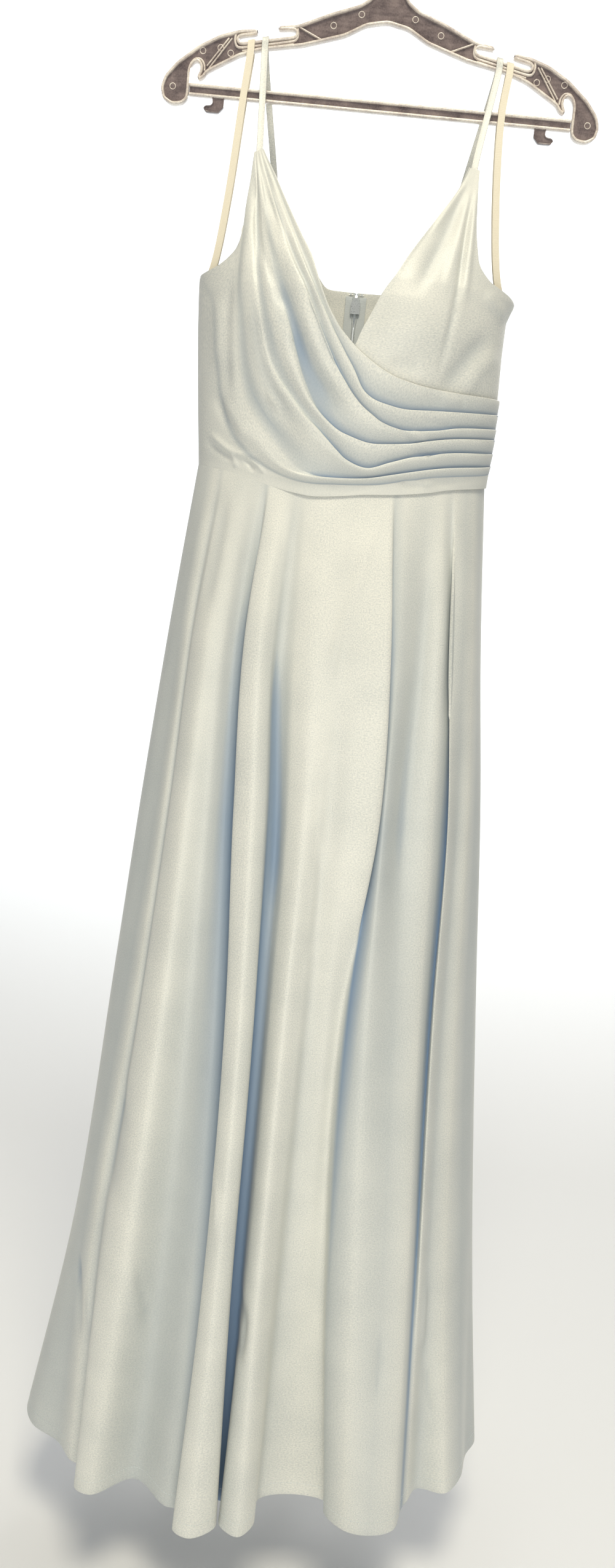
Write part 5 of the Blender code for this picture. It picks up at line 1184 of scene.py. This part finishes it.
arm_line = rounded_line(ARM_OUTLINE + [(-x, z) for x, z in ARM_OUTLINE[-2:0:-1]], True)
moulded("hanger_web", [], web_painted_shade, [(inset_line(arm_line, RIM_INSET / 2), WEB_THICK)])
rims = [(inset_line(arm_line, RIM_INSET), True, RIM_HALF, ARM_DEPTH)]
rims += [(rounded_line(points, False), False, rib.half, ARM_DEPTH - RIB_LOWER)
         for rib in ARM_RIBS for points in both_hands([rib.points])]
circle = [(MARK_RADIUS * cos(radians(a)), MARK_RADIUS * sin(radians(a))) for a in range(0, 360, 24)]
rims += [([(hand * x + across, z + up) for across, up in circle], True, MARK_WIRE, WEB_THICK + MARK_PROUD)
         for x, z in MARKS for hand in (1, -1)]
moulded("hanger_rims", rims, rim_painted_highlight, node="hanger_arms")
tabs = [rounded_line(points, True, TAB_CORNER) for points in both_hands([BAR_TAB])]
plate = [(x, z) for z, ends in ((BAR_TOP - BAR_IN, (-1, 1)), (BAR_BOTTOM + BAR_IN, (1, -1)))
         for x in (BAR_HALF * end for end in ends)]
moulded("hanger_bar_web", [(inset_line(tab, TAB_RIM), True, TAB_RIM, TAB_DEPTH) for tab in tabs], web_painted_shade,
        [(plate, WEB_THICK)] + [(tab, WEB_THICK) for tab in tabs])
moulded("hanger_bar_rims", [([(-BAR_HALF, z), (BAR_HALF, z)], False, BAR_RIM, BAR_DEPTH)
                            for z in (BAR_TOP - BAR_RIM, BAR_BOTTOM + BAR_RIM)], rim_painted_highlight, node="hanger_bar")
hook_points = [(x, ARM_OUTLINE[0][1] * CM + up) for x, up in HOOK_STEM]
hook_centre = HOOK_WIRE - HOOK_RADIUS
hook_points += [(HOOK_RADIUS * cos(radians(turn)), hook_centre + HOOK_RADIUS * sin(radians(turn)))
                for turn in HOOK_TURNS]
hook_strip = ([(x / CM, z / CM) for x, z in hook_points], False, HOOK_WIRE / CM, HOOK_DEPTH)
moulded("moulded_hook", [hook_strip], rim_painted_highlight, node="hanger_hook")

# Stitches. Matching thread: along the hem, down both zip tapes, and bars over the hook and eye.
thread = Finish("sewing thread", base_color=(0.72, 0.78, 0.80, 1.0), roughness=0.6,
                sheen_weight=0.2).material
STITCH_STEP, STITCH_SIZE, STITCH_LIFT = 0.0032, (0.0004, 0.0004, 0.0024), 0.02
HEM_STITCH_UP = 3
TAPE_STITCH_AT, TAPE_STITCH_BEHIND = 0.75, 0.06
BAR_PLACES, BAR_THREADS, BAR_THREAD_STEP, BAR_SIZE = (0.15, 0.6), 5, 0.045, (0.0004, 0.0004, 0.0034)


hem_run = (ring_grid + sheet_normals(ring_grid) * STITCH_LIFT)[-HEM_STITCH_UP]
bead_row("hem_stitches", [hem_run], STITCH_STEP, STITCH_SIZE, thread)
tape_runs = [tape_line(hand, TAPE_STITCH_BEHIND, across=TAPE_STITCH_AT) for hand in (-1, 1)]
bead_row("zip_stitches", tape_runs, STITCH_STEP, STITCH_SIZE, thread)
bar_runs = []
for node in ("back_hook", "back_eye"):
    corners = np.array([vertex.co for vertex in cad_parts[node].data.vertices]) / CM
    low, high = corners.min(axis=0), corners.max(axis=0)
    for across in BAR_PLACES:
        for k in range(BAR_THREADS):
            start = np.array((low[0] + (high[0] - low[0]) * across + BAR_THREAD_STEP * k, low[1] - 0.01,
                              (low[2] + high[2]) / 2))
            bar_runs.append([start, start + (0, 0, 0.05)])
bead_row("hook_stitches", bar_runs, STITCH_STEP, BAR_SIZE, thread)

# Studio. A pale floor that sweeps up into a wall behind, a warm light from high in front, a weak
# one at the camera's height, a light for the wall and one for the back, and a dim surround.
FLOOR_Z = HEM_Z * CM - 0.14
SWEEP_FRONT, SWEEP_BACK, SWEEP_BEND, SWEEP_TOP, SWEEP_HALF = -9.0, 5.0, 2.0, 7.0, 12.0
sweep_line = [(SWEEP_FRONT, FLOOR_Z)]
sweep_line += [(SWEEP_BACK + SWEEP_BEND * sin(radians(a)), FLOOR_Z + SWEEP_BEND * (1 - cos(radians(a))))
               for a in range(0, 91, 6)]
sweep_line += [(SWEEP_BACK + SWEEP_BEND, SWEEP_TOP)]
sweep_mesh = bpy.data.meshes.new("floor")
sweep_mesh.from_pydata([(x * SWEEP_HALF, y, z) for y, z in sweep_line for x in (-1, 1)], [],
                       [(2 * k, 2 * k + 1, 2 * k + 3, 2 * k + 2) for k in range(len(sweep_line) - 1)])
sweep_mesh.shade_smooth()
sweep_mesh.materials.append(Finish("pale floor", base_color=(0.88, 0.89, 0.90, 1.0), roughness=0.9).material)
placed("floor", sweep_mesh)

Lamp = namedtuple("Lamp", "name place aim size watts colour")
LAMPS = table(
    Lamp,
    ("high light", (0.1, -1.7, 2.2), (0.0, 0.0, -0.9), 1.1, 78.0, (1.0, 0.92, 0.74)),
    ("front fill", (0.0, -2.6, -1.0), (0.0, 0.0, -1.1), 1.1, 21.0, (1.0, 0.98, 0.90)),
    ("wall light", (0.0, 3.4, 2.6), (0.0, 7.0, 0.6), 4.0, 260.0, (0.97, 0.99, 1.0)),
    ("back light", (1.3, 2.4, 0.8), (0.0, 0.0, -0.8), 1.2, 26.0, (1.0, 0.97, 0.92)))
for lamp in LAMPS:
    light = bpy.data.lights.new(lamp.name, "AREA")
    light.size = lamp.size
    light.energy = lamp.watts
    light.color = lamp.colour
    holder = placed(lamp.name, light)
    holder.location = lamp.place
    holder.rotation_euler = (Vector(lamp.aim) - holder.location).to_track_quat("-Z", "Y").to_euler()
world = bpy.data.worlds.new("dim surround")
bpy.context.scene.world = world
world.use_nodes = True
surround = world.node_tree.nodes["Background"].inputs
surround["Color"].default_value = (0.95, 0.975, 1.0, 1.0)
surround["Strength"].default_value = 0.31
bpy.context.scene.view_settings.view_transform = "Standard"
